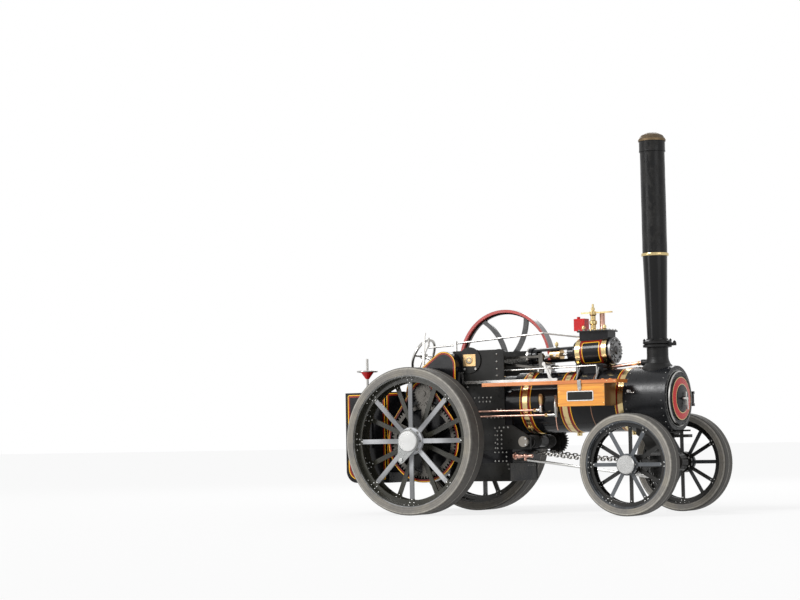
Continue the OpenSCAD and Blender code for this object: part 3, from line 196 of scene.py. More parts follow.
def stamp(template, places, normals):
    """A small shape set at every place: its x and y lie square to the normal there and its z along it."""
    verts, faces = template
    places = np.asarray(places, float).reshape(-1, 3)
    normals = unit(np.broadcast_to(np.asarray(normals, float), places.shape))
    s, t = basis(normals)
    pts = (places[:, None] + verts[None, :, 0:1] * s[:, None] + verts[None, :, 1:2] * t[:, None]
           + verts[None, :, 2:3] * normals[:, None])
    shift = (np.arange(len(places)) * len(verts))[:, None, None]
    return pts.reshape(-1, 3), [(f[None] + shift).reshape(-1, f.shape[1]) for f in faces]


def turned(rings, n):
    """Rows of (radius, height) taken round n even steps, as an open stack."""
    t = full_turn(n)
    r, height = rings[:, :1], np.repeat(rings[:, 1:], n, 1)
    return lattice(np.stack([r * np.cos(t), r * np.sin(t), height], -1))


def rivet(r, rise=0.7):
    """Rivet head: rings at the foot, shoulder and crown, radius falling as the height grows."""
    return turned(np.array([[1, -0.25], [1, 0.1], [0.78, 0.62], [0.3, 0.95]]) * [r, r * rise], 8)


def nut(r, h, stud=0.45):
    """Hexagon nut with its corners taken off, and the end of a stud standing out of it."""
    rings = np.array([[1, -0.4], [1, h * 0.82], [0.86, h], [stud, h], [stud, h * 1.45],
                      [stud * 0.7, h * 1.6]])
    rings[:, 0] *= r
    return turned(rings, 6)


def spaced(path, gap):
    """The closed path walked again in steps of about gap, by its length."""
    loop = np.vstack([path, path[:1]])
    run = np.concatenate([[0], np.cumsum(np.linalg.norm(np.diff(loop, axis=0), axis=1))])
    at = np.linspace(0, run[-1], max(3, int(round(run[-1] / gap))), endpoint=False)
    return np.stack([np.interp(at, run, loop[:, k]) for k in range(loop.shape[1])], -1)


def belt(circles, inset):
    """Outline round several circles: for each direction the circle that reaches furthest gives the point."""
    c = np.asarray(circles, float)
    n = circle_profile(1.0, 720)
    r = c[:, 2] - inset
    best = np.argmax(n @ c[:, :2].T + r, axis=1)
    return spaced(c[best, :2] + r[best, None] * n, 6.0)


def corner_loop(x0, x1, z0, z1, radii, gap=5.0):
    """Rectangle with round corners, anticlockwise from the low left one, with one radius or one for each."""
    t = np.linspace(0, np.pi / 2, 9)
    ends = ((x0, z0, 1, 1, 180), (x1, z0, -1, 1, 270), (x1, z1, -1, -1, 0), (x0, z1, 1, -1, 90))
    corners = []
    for (x, z, sx, sz, turn), r in zip(ends, np.broadcast_to(radii, 4)):
        a = t + math.radians(turn)
        corners.append(np.stack([x + sx * r + r * np.cos(a), z + sz * r + r * np.sin(a)], -1))
    return spaced(np.vstack(corners), gap)


def row(z, *xs):
    """Spots side by side at one height."""
    return [(x, z) for x in xs]


def column(x, *zs):
    """Spots above each other."""
    return [(x, z) for z in zs]


def lift(outline, y):
    """A flat X and Z outline set at a given Y."""
    o = np.asarray(outline, float)
    return np.stack([o[:, 0], np.full(len(o), float(y)), o[:, 1]], -1)


def line_on(path, normal, width):
    """Painted line: a closed strip of that width, 0.3 mm proud of the surface and sunk 0.2 mm into it."""
    return sweep(path, strip(width / 2, -0.2, 0.3), normal, True)


def motion(s_along, turn, r):
    """Point by distance along the cylinder, turn from its top to the right and radius, and the way out."""
    s_along, turn, r = np.broadcast_arrays(np.asarray(s_along, float), turn, r)
    top = np.array([-math.sin(TILT), 0, math.cos(TILT)])
    out = np.cos(turn)[..., None] * top + np.sin(turn)[..., None] * np.array(RIGHT, float)
    return np.array(MOTION_START) + s_along[..., None] * np.array(MOTION_WAY) + r[..., None] * out, out


def put(name, parts, key, slot=None, body="engine"):
    """One piece in metres from the parts: doubles merged, faces turned outwards, and riding on a body."""
    slot = slot or key
    verts, faces, start = [], [], 0
    for points, groups in parts:
        verts.append(points)
        for g in groups:
            faces += (g + start).tolist()
        start += len(points)
    co = np.vstack(verts) / 1000
    co[:, 0] += AXLE_X
    mesh = bpy.data.meshes.new(name)
    mesh.from_pydata(co.tolist(), [], faces)
    bm = bmesh.new()
    bm.from_mesh(mesh)
    bmesh.ops.remove_doubles(bm, verts=bm.verts, dist=1e-6)
    bmesh.ops.recalc_face_normals(bm, faces=bm.faces)
    bm.to_mesh(mesh)
    bm.free()
    mesh.polygons.foreach_set("use_smooth", np.ones(len(mesh.polygons), bool))
    mesh.set_sharp_from_angle(angle=SHARP)
    mesh.materials.append(finish(key))
    piece = bpy.data.objects.new(name, mesh)
    bpy.context.scene.collection.objects.link(piece)
    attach(piece, body)
    return piece


# Finishes

def times(colour, by):
    """A colour that many times as light, up to full."""
    return tuple(np.minimum(np.array(colour) * by, 1))


class Finish:
    """A material that is kept by its name, with short calls for the nodes that the finishes share."""
    made = {}

    def __init__(self, name):
        self.material = self.made[name] = bpy.data.materials.new(name)
        self.material.use_nodes = True
        self.tree = self.material.node_tree
        self.tree.nodes.clear()
        out = self.add("ShaderNodeOutputMaterial")
        self.shader = self.add("ShaderNodeBsdfPrincipled")
        self.link(self.shader.outputs[0], out.inputs["Surface"])
        self.place = self.add("ShaderNodeTexCoord").outputs["Object"]

    def add(self, kind, **settings):
        node = self.tree.nodes.new(kind)
        for key, value in settings.items():
            setattr(node, key, value)
        return node

    def link(self, a, b):
        self.tree.links.new(a, b)

    def feed(self, socket, value):
        """A number, a colour or another node's output into a socket."""
        if isinstance(value, (int, float)):
            socket.default_value = value
        elif isinstance(value, (tuple, list)):
            socket.default_value = (*value, 1.0)
        else:
            self.link(value, socket)

    def scaled(self, scale, turn=(0, 0, 0)):
        node = self.add("ShaderNodeMapping")
        node.inputs["Scale"].default_value = scale
        node.inputs["Rotation"].default_value = turn
        self.link(self.place, node.inputs["Vector"])
        return node.outputs[0]

    def noise(self, scale, detail=3.0, rough=0.55, vector=None):
        node = self.add("ShaderNodeTexNoise")
        node.inputs["Scale"].default_value = scale
        node.inputs["Detail"].default_value = detail
        node.inputs["Roughness"].default_value = rough
        self.link(vector or self.place, node.inputs["Vector"])
        return node.outputs[0]

    def spread(self, value, low, high, to_low=0.0, to_high=1.0):
        node = self.add("ShaderNodeMapRange")
        for key, number in zip(("From Min", "From Max", "To Min", "To Max"), (low, high, to_low, to_high)):
            node.inputs[key].default_value = number
        self.link(value, node.inputs["Value"])
        return node.outputs[0]

    def calc(self, kind, a, b=None):
        node = self.add("ShaderNodeMath", operation=kind)
        self.feed(node.inputs[0], a)
        if b is not None:
            self.feed(node.inputs[1], b)
        return node.outputs[0]

    plus = partialmethod(calc, "ADD")
    minus = partialmethod(calc, "SUBTRACT")
    by = partialmethod(calc, "MULTIPLY")
    over = partialmethod(calc, "GREATER_THAN")
    under = partialmethod(calc, "LESS_THAN")
    larger = partialmethod(calc, "MAXIMUM")
    size = partialmethod(calc, "ABSOLUTE")
    sine = partialmethod(calc, "SINE")

    def blend(self, factor, a, b):
        node = self.add("ShaderNodeMix", data_type="RGBA")
        for socket, value in ((node.inputs[0], factor), (node.inputs[6], a), (node.inputs[7], b)):
            self.feed(socket, value)
        return node.outputs[2]

    def shades(self, value, low, high, colour, dark, light):
        """The colour from dark to light times its tone, as the value goes from low to high."""
        return self.blend(self.spread(value, low, high), times(colour, dark), times(colour, light))

    def axis(self, name):
        node = self.add("ShaderNodeSeparateXYZ")
        self.link(self.place, node.inputs[0])
        return node.outputs[name]

    def radius(self, x, z):
        """Distance from a line along Y through x and z."""
        dx = self.minus(self.axis("X"), x)
        dz = self.minus(self.axis("Z"), z)
        return self.calc("SQRT", self.plus(self.by(dx, dx), self.by(dz, dz)))

    def bump(self, value, height):
        node = self.add("ShaderNodeBump")
        node.inputs["Distance"].default_value = height
        self.link(value, node.inputs["Height"])
        self.link(node.outputs[0], self.shader.inputs["Normal"])

    def set(self, **values):
        for key, value in values.items():
            self.feed(self.shader.inputs[key.replace("_", " ")], value)


def axle_radius(n):
    """One where the front axle is the nearer axle, and the distance from the nearer axle."""
    front = n.over(n.axis("X"), (REAR_AXLE[0] + FRONT_AXLE[0]) / 2)
    from_front = n.by(n.radius(FRONT_AXLE[0], FRONT_AXLE[2]), front)
    from_rear = n.by(n.radius(REAR_AXLE[0], REAR_AXLE[2]), n.minus(1.0, front))
    return front, n.plus(from_front, from_rear)


def dusted(n, colour, dust, reach, amount):
    """Colour with dust in cloudy patches, thicker towards the ground below the reach."""
    cloud = n.spread(n.noise(9.0, 5.0), 0.35, 0.72)
    low = n.spread(n.axis("Z"), 0.0, reach, 1.0, 0.25)
    return n.blend(n.by(n.by(cloud, low), amount), colour, dust)


def paint(name, colour, rough, coat=0.0, dust=0.05, reach=0.9, specular=0.5, grit=0.00008):
    """Brushed or sprayed paint: clouded tone, a little dust low down, fine orange peel and uneven gloss."""
    n = Finish(name)
    light = tuple(np.minimum(np.array(colour) * 1.2 + 0.003, 1))
    tone = n.blend(n.spread(n.noise(14.0, 4.0), 0.3, 0.7), times(colour, 0.82), light)
    n.set(Base_Color=dusted(n, tone, (0.30, 0.27, 0.21), reach, dust),
          Roughness=n.spread(n.noise(38.0, 5.0, 0.7), 0.25, 0.8, max(rough - 0.07, 0.03), rough + 0.12),
          Specular_IOR_Level=specular, Coat_Weight=coat, Coat_Roughness=0.08)
    n.bump(n.noise(420.0, 2.0), grit)


def scorched(name, colour, burnt, start):
    """Chimney paint: smooth below, and above the start blistered by heat with the gloss in patches."""
    n = Finish(name)
    high = n.over(n.axis("Z"), start)
    blister = n.noise(30.0, 8.0, 0.75, n.scaled((1.0, 1.0, 0.45)))
    patch = n.by(high, n.spread(blister, 0.46, 0.6))
    tone = n.shades(n.noise(9.0, 3.0), 0.3, 0.7, colour, 0.8, 1.3)
    n.set(Base_Color=n.blend(patch, tone, n.shades(n.noise(90.0, 4.0), 0.4, 0.65, burnt, 0.5, 1)),
          Specular_IOR_Level=0.22,
          Roughness=n.plus(n.spread(blister, 0.3, 0.7, 0.16, 0.26), n.by(patch, 0.3)))
    n.bump(n.by(high, blister), 0.0012)


def bright(name, colour, rough, tarnish, amount, stretch=(60, 60, 60), grit=0.00004):
    """Bare metal: fine marks drawn out along one way, and tarnish in soft clouds."""
    n = Finish(name)
    marks = n.noise(8.0, 4.0, 0.6, n.scaled(stretch))
    cloud = n.spread(n.noise(22.0, 5.0, 0.62), 0.48, 0.78)
    n.set(Base_Color=n.blend(n.by(cloud, amount), n.shades(marks, 0.3, 0.7, colour, 0.88, 1.08), tarnish),
          Metallic=1.0, Roughness=n.spread(marks, 0.25, 0.8, max(rough - 0.08, 0.04), rough + 0.14))
    n.bump(marks, grit)


def rubber(name, colour):
    """Worn solid rubber: grey sides with fine rings, a tread darker than the sides, with scuffs, of two rings with
    a pale joint, a pale edge where they meet that is a painted highlight on the shoulder, and dried grass dust in
    patches."""
    n = Finish(name)
    scuff = n.noise(60.0, 6.0, 0.7)
    face = n.shades(scuff, 0.3, 0.72, colour, 0.78, 1.2)
    sides = n.blend(n.spread(n.noise(11.0, 5.0), 0.42, 0.7, 0.0, 0.4), face, (0.36, 0.32, 0.24))
    front, r = axle_radius(n)
    rings = n.spread(n.sine(n.by(r, 620.0)), 0.2, 1.0, 0.0, 0.4)
    sides = n.blend(rings, sides, times(colour, 0.45))
    joint_y = n.blend(front, (0.312,) * 3, (0.288,) * 3)
    across = n.minus(n.size(n.axis("Y")), joint_y)
    tread = n.shades(scuff, 0.35, 0.7, colour, 0.34, 0.7)
    tread = n.blend(n.over(across, 0.0), n.blend(0.5, tread, times(colour, 0.22)), tread)
    joint = n.by(n.under(n.size(across), 0.0028), n.spread(scuff, 0.3, 0.6, 0.2, 0.8))
    tread = n.blend(joint, tread, (0.40, 0.385, 0.35))
    tyre_r = n.minus(REAR_AXLE[2], n.by(front, REAR_AXLE[2] - FRONT_AXLE[2]))
    depth = n.minus(r, tyre_r)
    # within 3 to 6 mm of the tyre's outer radius the colour goes over to the tread's
    worn = n.spread(depth, -0.006, -0.003)
    # pale band from 9 to 14 mm in from the outer radius up to the tread: a painted highlight on the shoulder
    edge = n.by(n.spread(depth, -0.014, -0.009), n.spread(scuff, 0.3, 0.6, 0.15, 0.6))
    n.set(Base_Color=n.blend(worn, n.blend(edge, sides, (0.46, 0.44, 0.39)), tread), Specular_IOR_Level=0.3,
          Roughness=n.spread(scuff, 0.3, 0.7, 0.5, 0.85))
    n.bump(n.plus(scuff, n.noise(300.0, 3.0)), 0.0004)


def rim_paint(name, inner, outer):
    """Flywheel, by distance from the shaft: dark spokes, a red face on the rim and a worn grey belt face."""
    n = Finish(name)
    r = n.radius(AXLE_X + CRANK[0] / 1000, CRANK[1] / 1000)
    red = n.shades(n.noise(18.0, 4.0), 0.3, 0.7, outer, 0.85, 1.12)
    belt_grey = n.blend(n.spread(n.noise(50.0, 4.0), 0.3, 0.7), (0.17, 0.17, 0.18), (0.27, 0.27, 0.28))
    painted = n.blend(n.spread(r, 0.2418, 0.2426), inner, red)
    n.set(Base_Color=n.blend(n.over(r, 0.2562), painted, belt_grey), Specular_IOR_Level=0.35, Coat_Weight=0.2,
          Roughness=n.spread(n.noise(40.0, 4.0), 0.25, 0.8, 0.2, 0.36), Coat_Roughness=0.1)
    n.bump(n.noise(400.0), 0.00006)


def wheel_paint(name, inner, outer, row, rim, rough):
    """Gloss wheel paint, dark but on the outer side, past the row: the spokes whole are grey as a painted
    highlight of sun glare, the hub paler as polished metal, and the rim's edge in part as a painted highlight."""
    n = Finish(name)
    _, r = axle_radius(n)
    outside = n.over(n.size(n.axis("Y")), row)
    # outer-row spokes and hub: the spokes' grey is painted sun glare, the hub's grey is polished metal
    glare_and_polish_mask = n.by(outside, n.under(r, rim))
    cloud = n.noise(16.0, 5.0, 0.6)
    dark = n.shades(cloud, 0.3, 0.7, inner, 0.7, 1.35)
    # painted glare: a different grey on each spoke
    pale = n.shades(n.noise(2.6, 1.5), 0.42, 0.58, outer, 0.6, 1.75)
    pale = n.blend(n.spread(cloud, 0.4, 0.75, 0.0, 0.4), pale, times(outer, 0.5))
    # the hub paler still: polished metal
    pale = n.blend(n.under(r, rim * 0.235), pale, times(outer, 2.3))
    # painted highlight on part of the rim's edge, on the outer side
    edge = n.by(n.over(r, rim * 1.132), n.spread(cloud, 0.35, 0.6, 0.2, 1.0))
    dark = n.blend(n.by(edge, outside), dark, times(outer, 1.6))
    n.set(Base_Color=dusted(n, n.blend(glare_and_polish_mask, dark, pale), (0.22, 0.20, 0.16), 0.45, 0.1), Coat_Weight=0.15,
          Coat_Roughness=0.1, Specular_IOR_Level=0.3,
          Roughness=n.spread(n.noise(44.0, 5.0), 0.25, 0.8, rough - 0.05, rough + 0.15))
    n.bump(n.noise(420.0, 2.0), 0.00008)


def varnished(name, light, dark, end=9.0):
    """Varnished board: wavering grain lines along X under a clear coat, and a dark painted shade past the end."""
    n = Finish(name)
    grain = n.noise(3.2, 8.0, 0.62, n.scaled((1.6, 26.0, 30.0)))
    pores = n.noise(40.0, 3.0, 0.6, n.scaled((2.0, 60.0, 60.0)))
    base = n.blend(n.spread(grain, 0.36, 0.66), dark, light)
    # past the end in X, on the box's end face: dark brown painted shade
    base = n.blend(n.over(n.axis("X"), end), base, (0.16, 0.07, 0.02))
    n.set(Base_Color=n.blend(n.spread(pores, 0.55, 0.8, 0.0, 0.35), base, times(light, 0.45)),
          Roughness=n.spread(pores, 0.3, 0.7, 0.3, 0.45), Coat_Weight=0.6, Coat_Roughness=0.1)
    n.bump(pores, 0.00012)


def turned_cap(name):
    """Polished aluminium with turning marks round the axle, over a greyer plate where the cap ends."""
    n = Finish(name)
    side = n.size(n.axis("Y"))
    front, r = axle_radius(n)
    smudge = n.noise(12.0, 3.0)
    cap = n.larger(front, n.over(side, 0.3765))
    pin = n.by(n.over(side, 0.3763), n.over(r, 0.07))
    shine = n.blend(n.spread(smudge, 0.3, 0.8), (0.50, 0.50, 0.49), (0.41, 0.41, 0.405))
    n.set(Base_Color=n.blend(n.larger(cap, pin), (0.27, 0.275, 0.27), shine), Metallic=1.0,
          Roughness=n.spread(smudge, 0.3, 0.75, 0.2, 0.36))
    n.bump(n.sine(n.by(r, 5200.0)), 0.00001)


def chequered(name, colour):
    """Tread plate: raised bars in two slanting ways, worn lighter on top."""
    n = Finish(name)
    bars = []
    for turn in (45, -45):
        wave = n.add("ShaderNodeTexWave", bands_direction="X")
        wave.inputs["Scale"].default_value = 24.0
        n.link(n.scaled((1, 1, 1), (0, 0, math.radians(turn))), wave.inputs["Vector"])
        bars.append(wave.outputs[1])
    raised = n.spread(n.by(*bars), 0.35, 0.6)
    n.set(Base_Color=dusted(n, n.blend(raised, colour, times(colour, 2.6)), (0.3, 0.26, 0.2), 0.6, 0.3),
          Metallic=0.4, Roughness=0.5)
    n.bump(raised, 0.0006)


def mesh_cap(name, colour):
    """Spark arrester gauze: a fine woven grid pressed into the bronze, sooty in the hollows."""
    n = Finish(name)
    turn = n.calc("ARCTAN2", n.axis("Y"), n.minus(n.axis("X"), AXLE_X + CHIMNEY_X / 1000))
    holes = n.spread(n.by(n.sine(n.by(turn, 96.0)), n.sine(n.by(n.axis("Z"), 2300.0))), 0.0, 0.4)
    dome = n.over(n.axis("Z"), 1.7225)
    n.set(Base_Color=n.blend(n.by(holes, dome), colour, (0.03, 0.028, 0.025)), Metallic=0.85,
          Roughness=n.spread(n.noise(40.0), 0.3, 0.7, 0.35, 0.55))
    n.bump(n.by(n.minus(1.0, holes), dome), 0.0006)


def glassy(name):
    """Clear gauge glass, faintly green, with a film of dust."""
    n = Finish(name)
    film = n.spread(n.noise(30.0), 0.3, 0.7, 0.0, 0.3)
    n.set(Base_Color=n.blend(film, (0.85, 0.93, 0.9), (0.7, 0.72, 0.68)),
          Roughness=n.spread(n.noise(60.0), 0.3, 0.7, 0.03, 0.12), Transmission_Weight=0.75, IOR=1.48)


def finish(key):
    """The finish of that name, which the first operator made."""
    if key not in Finish.made:
        raise RuntimeError("the finishes are made first")
    return Finish.made[key]


# Settings

def colour(name, description, value):
    """Setting for a colour."""
    return FloatVectorProperty(name=name, description=description, subtype="COLOR", default=value, min=0,
                               max=1)


def length(name, description, value, low, high):
    """Setting for a length in metres."""
    return FloatProperty(name=name, description=description, default=value, min=low, max=high, unit="LENGTH",
                         subtype="DISTANCE")


class TractionEngineSettings(bpy.types.PropertyGroup):
    """Colours and sizes that a user would change."""
    paint_black: colour("Black paint", "Gloss black of boiler, tender and guards", (0.0055, 0.0055, 0.0068))
    line_yellow: colour("Yellow line", "Fine lining line", (0.96, 0.47, 0.02))
    line_red: colour("Dark red line", "Broad lining line", (0.24, 0.012, 0.006))
    bright_red: colour("Bright red", "Door ring, oil box and brake cone", (0.52, 0.006, 0.008))
    varnish_light: colour("Toolbox wood, light", "Light part of the toolbox's grain", (0.82, 0.35, 0.022))
    varnish_dark: colour("Toolbox wood, dark", "Dark part of the toolbox's grain", (0.64, 0.215, 0.010))
    lid_light: colour("Lid wood, light", "Light part of the lid board's grain", (0.70, 0.225, 0.030))
    lid_dark: colour("Lid wood, dark", "Dark part of the lid board's grain", (0.50, 0.13, 0.02))
    tyre_grey: colour("Tyre rubber", "Worn grey of the solid tyres", (0.19, 0.18, 0.165))
    yellow_width: length("Yellow line width", "Width of the yellow lining", 0.004, 0.002, 0.01)
    red_width: length("Red line width", "Width of the dark red lining", 0.008, 0.002, 0.02)
    rivet_size: length("Rivet radius", "Radius of the plate rivets", 0.0042, 0.002, 0.006)
    smokebox_rivets: IntProperty(name="Smokebox rivets", description="Rivets in each ring round the smokebox",
                                 default=26, min=12, max=60)
    lamp_level: FloatProperty(name="Lamp level", description="Strength of the studio lamps", default=1.0,
                              min=0.1, max=4.0)


def mm(metres):
    return metres * 1000


# Operators

class Dress(bpy.types.Operator):
    """Shared base of the operators."""
    bl_options = {"REGISTER"}

    def execute(self, context):
        self.make(context.scene.traction_engine)
        return {"FINISHED"}


FINISH_OF_SLOT = {
    "boiler_paint": "gloss_black", "frame_paint": "satin_black", "cast": "casting", "tyre_rubber": "rubber",
    "wheel_iron": "wheel_rear", "wheel_black": "wheel_front", "cap_aluminium": "cap", "red": "bright_red",
    "flywheel_red": "rim_red", "wood": "varnished_wood",
}
FINISH_OF_NODE = {"footplate": "tread_plate", "valve_gear": "gear_steel", "spark_cap": "gauze",
                  "toolbox_lid": "varnished_lid"}


class ENGINE_OT_finishes(Dress):
    """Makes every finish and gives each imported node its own."""
    bl_idname = "engine.finishes"
    bl_label = "Finishes"

    def make(self, s):
        paint("gloss_black", s.paint_black, 0.14, coat=0.1, dust=0.02, specular=0.14)
        paint("satin_black", (0.010, 0.010, 0.0095), 0.30, dust=0.035, specular=0.18)
        paint("smoke_black", (0.007, 0.0075, 0.009), 0.28, dust=0.02, specular=0.24, grit=0.00016)
        scorched("chimney_black", (0.0045, 0.0045, 0.0048), (0.018, 0.017, 0.016), 1.19)
        paint("casting", (0.009, 0.009, 0.009), 0.36, specular=0.18, grit=0.0003)
        # each wheel's second colour is the painted sun glare on the outer-row spokes and, paler, the polished hub
        wheel_paint("wheel_rear", (0.025, 0.0245, 0.018), (0.265, 0.27, 0.28), 0.318, 0.272, 0.22)
        wheel_paint("wheel_front", (0.008, 0.008, 0.008), (0.055, 0.06, 0.066), 0.294, 0.165, 0.20)
        # near white bare steel: a painted glint on the wheels' rivets, and bright steel elsewhere
        bright("rivet_bright", (0.62, 0.62, 0.60), 0.3, (0.1, 0.1, 0.1), 0.5)
        # grey bare metal: lighter than the black paint round the smokebox rivets and door seat, as a painted glint
        # and highlight
        bright("rivet_dark", (0.16, 0.16, 0.155), 0.26, (0.03, 0.03, 0.03), 0.5)
        # pale grey metal on small fasteners of black plates: a painted glint
        bright("rivet_glint", (0.33, 0.325, 0.31), 0.3, (0.05, 0.05, 0.05), 0.7)
        bright("chain_iron", (0.15, 0.145, 0.135), 0.20, (0.02, 0.017, 0.014), 0.9)
        paint("damper_black", (0.006, 0.007, 0.010), 0.24, coat=0.03, dust=0.4, reach=0.35, specular=0.1)
        paint("dusty_steel", (0.21, 0.19, 0.165), 0.45, dust=0.5, specular=0.4)
        bright("steel", (0.46, 0.45, 0.43), 0.24, (0.10, 0.09, 0.075), 0.45, (14, 90, 90))
        bright("gear_steel", (0.085, 0.08, 0.073), 0.27, (0.02, 0.017, 0.014), 0.8, (40, 40, 40))
        bright("brass", (0.60, 0.47, 0.235), 0.18, (0.26, 0.13, 0.04), 0.55, (30, 8, 8))
        bright("bronze", (0.55, 0.37, 0.18), 0.30, (0.20, 0.11, 0.05), 0.5, (40, 40, 40))
        bright("copper", (0.60, 0.36, 0.285), 0.30, (0.28, 0.12, 0.08), 0.5, (8, 60, 60))
        bright("cover_iron", (0.24, 0.24, 0.24), 0.42, (0.05, 0.05, 0.05), 0.7, (50, 50, 50), 0.0003)
        rubber("rubber", s.tyre_grey)
        turned_cap("cap")
        paint("yellow_line", s.line_yellow, 0.28, coat=0.15, dust=0.02, specular=0.25)
        paint("dark_red_line", s.line_red, 0.26, coat=0.15, dust=0.02, specular=0.2)
        paint("bright_red", s.bright_red, 0.24, coat=0.15, dust=0.02, specular=0.2)
        rim_paint("rim_red", (0.014, 0.014, 0.015), (0.44, 0.04, 0.03))
        # the toolbox's end face, past this X, is given a painted shade
        box_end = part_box("toolbox")[1][0] - 0.0005
        varnished("varnished_wood", tuple(s.varnish_light), tuple(s.varnish_dark), box_end)
        varnished("varnished_lid", tuple(s.lid_light), tuple(s.lid_dark))
        paint("thin_line", (0.26, 0.12, 0.06), 0.3)
        chequered("tread_plate", (0.05, 0.05, 0.05))
        mesh_cap("gauze", (0.15, 0.105, 0.058))
        paint("name_plate", (0.007, 0.007, 0.007), 0.35, dust=0.03, specular=0.2)
        glassy("gauge_glass")
        paint("dial_white", (0.78, 0.77, 0.72), 0.4, dust=0.03)
        slots = {p["node"]: p["material_slot"] for p in frame["record"]["subparts"]}
        for name, node in frame["nodes"].items():
            material = finish(FINISH_OF_NODE.get(name, FINISH_OF_SLOT.get(slots[name], slots[name])))
            if not node.material_slots:
                node.data.materials.append(material)
            for holder in node.material_slots:
                holder.material = material


def spoke_rows(spokes):
    """For the outer and the inner row: its side of the wheel's middle, and the turn of each of its spokes."""
    for k, sign in ((0, 1), (1, -1)):
        yield sign, (np.arange(spokes // 2) + k / 2) * 4 * np.pi / spokes


def spoke_ways(turn):
    """Directions out from the axle and across a spoke, at each turn."""
    c, s, none = np.cos(turn), np.sin(turn), np.zeros_like(turn)
    return np.stack([c, none, -s], -1), np.stack([s, none, c], -1)


class ENGINE_OT_wheels(Dress):
    """Rivets on the rims and spoke feet of all four wheels, and nuts on their hub flanges."""
    bl_idname = "engine.wheels"
    bl_label = "Wheel fastenings"

    def make(self, s):
        wheels = [(w, side, word, w.name + "_wheel_" + word) for side, word in SIDES for w in WHEELS]
        # rivets on the rims and spoke feet in near white steel: painted glints
        for w, side, word, body in wheels:
            put(w.name + "_rim_rivets_" + word, self.rim(w, side), "rivet_bright", w.slot, body)
        for w, side, word, body in wheels:
            heads, nuts = self.spokes(w, side)
            put(w.name + "_spoke_rivets_" + word, heads, "rivet_bright", w.slot, body)
            put(w.name + "_hub_nuts_" + word, nuts, "steel", body=body)

    @staticmethod
    def rim(w, side):
        """Two rows of four rivets in the rim over the foot of each spoke."""
        heads = []
        for sign, mid in spoke_rows(w.spokes):
            turn = (mid[:, None] + np.radians(w.spread) * np.array([-1.5, -0.5, 0.5, 1.5])).ravel()
            out, _ = spoke_ways(turn)
            for flip in (-1, 1):
                y = side * (w.track + sign * w.row + flip * 10)
                heads.append(stamp(rivet(4.0), out * w.rim_r + [w.x, y, w.z], -out))
        return heads

    @staticmethod
    def spokes(w, side):
        """Rivets through both faces of each spoke foot, and a nut on the hub flange under each spoke."""
        heads, nuts = [], []
        for sign, turn in spoke_rows(w.spokes):
            out, across = spoke_ways(turn)
            row_y = w.track + sign * w.row
            for flip in (-1, 1):
                base = np.array([w.x, side * (row_y + flip * w.foot_face), w.z])
                spots = [base + out * w.foot_r + across * d for d in (-w.half_foot, w.half_foot)]
                spots.append(base + out * (w.foot_r - 15))
                heads.append(stamp(rivet(w.head), np.vstack(spots), (0, side * flip, 0)))
            base = np.array([w.x, side * (row_y + sign * w.flange_face), w.z])
            nuts.append(stamp(nut(w.head * 1.5, w.head * 1.1), base + out * w.flange_r, (0, side * sign, 0)))
        return heads, nuts


class ENGINE_OT_boiler_lining(Dress):
    """Red and yellow lines on both sides of each brass band, the bands' clamps, and the lagging's joint."""
    bl_idname = "engine.boiler_lining"
    bl_label = "Boiler lining"

    def make(self, s):
        reds, yellows, clamps = [], [], []
        red_w, yellow_w = 12.0, mm(s.yellow_width)
        for x in BANDS:
            for edge, way in ((x, -1), (x + BAND_W, 1)):
                red = sorted((edge, edge + way * red_w))
                yellow = sorted((edge + way * red_w, edge + way * (red_w + yellow_w)))
                if yellow[1] > SMOKEBOX_REAR - 1:
                    continue
                reds.append(hoop(BARREL_R, *red, 0.35))
                yellows.append(hoop(BARREL_R, *yellow, 0.4))
            clamps += self.clamp(x, CLAMP_TURN if x == BANDS[0] else 0.0)
        put("lagging_joint", [hoop(BARREL_R, 848, 852, 0.3)], "thin_line", "boiler_paint")
        put("boiler_dark_red_lines", reds, "dark_red_line", "boiler_paint")
        put("boiler_yellow_lines", yellows, "yellow_line", "boiler_paint")
        put("band_clamps", clamps, "brass")

    @staticmethod
    def clamp(x, turn):
        """A lug under the barrel with a bolt through it, swung round the barrel to the right by the turn."""
        lug = corner_loop(x + 4, x + BAND_W - 4, -BARREL_R - 16, 2 - BARREL_R, (3, 3, 1, 1), 3)
        end = [(3, -17), (4.5, -14), (4.5, -9), (3, -8)]
        bolt = [(0, -17), *end, *((r, -h) for r, h in reversed(end)), (0, 17)]
        swung = []
        for points, faces in (slab(lug, -9, 9), revolve(bolt, (x + BAND_W / 2, 0, -BARREL_R - 9), LEFT, 12)):
            across, down = points[:, 1].copy(), points[:, 2].copy()
            points[:, 1] = across * math.cos(turn) + down * math.sin(turn)
            points[:, 2] = BOILER_Z - across * math.sin(turn) + down * math.cos(turn)
            swung.append((points, faces))
        return swung


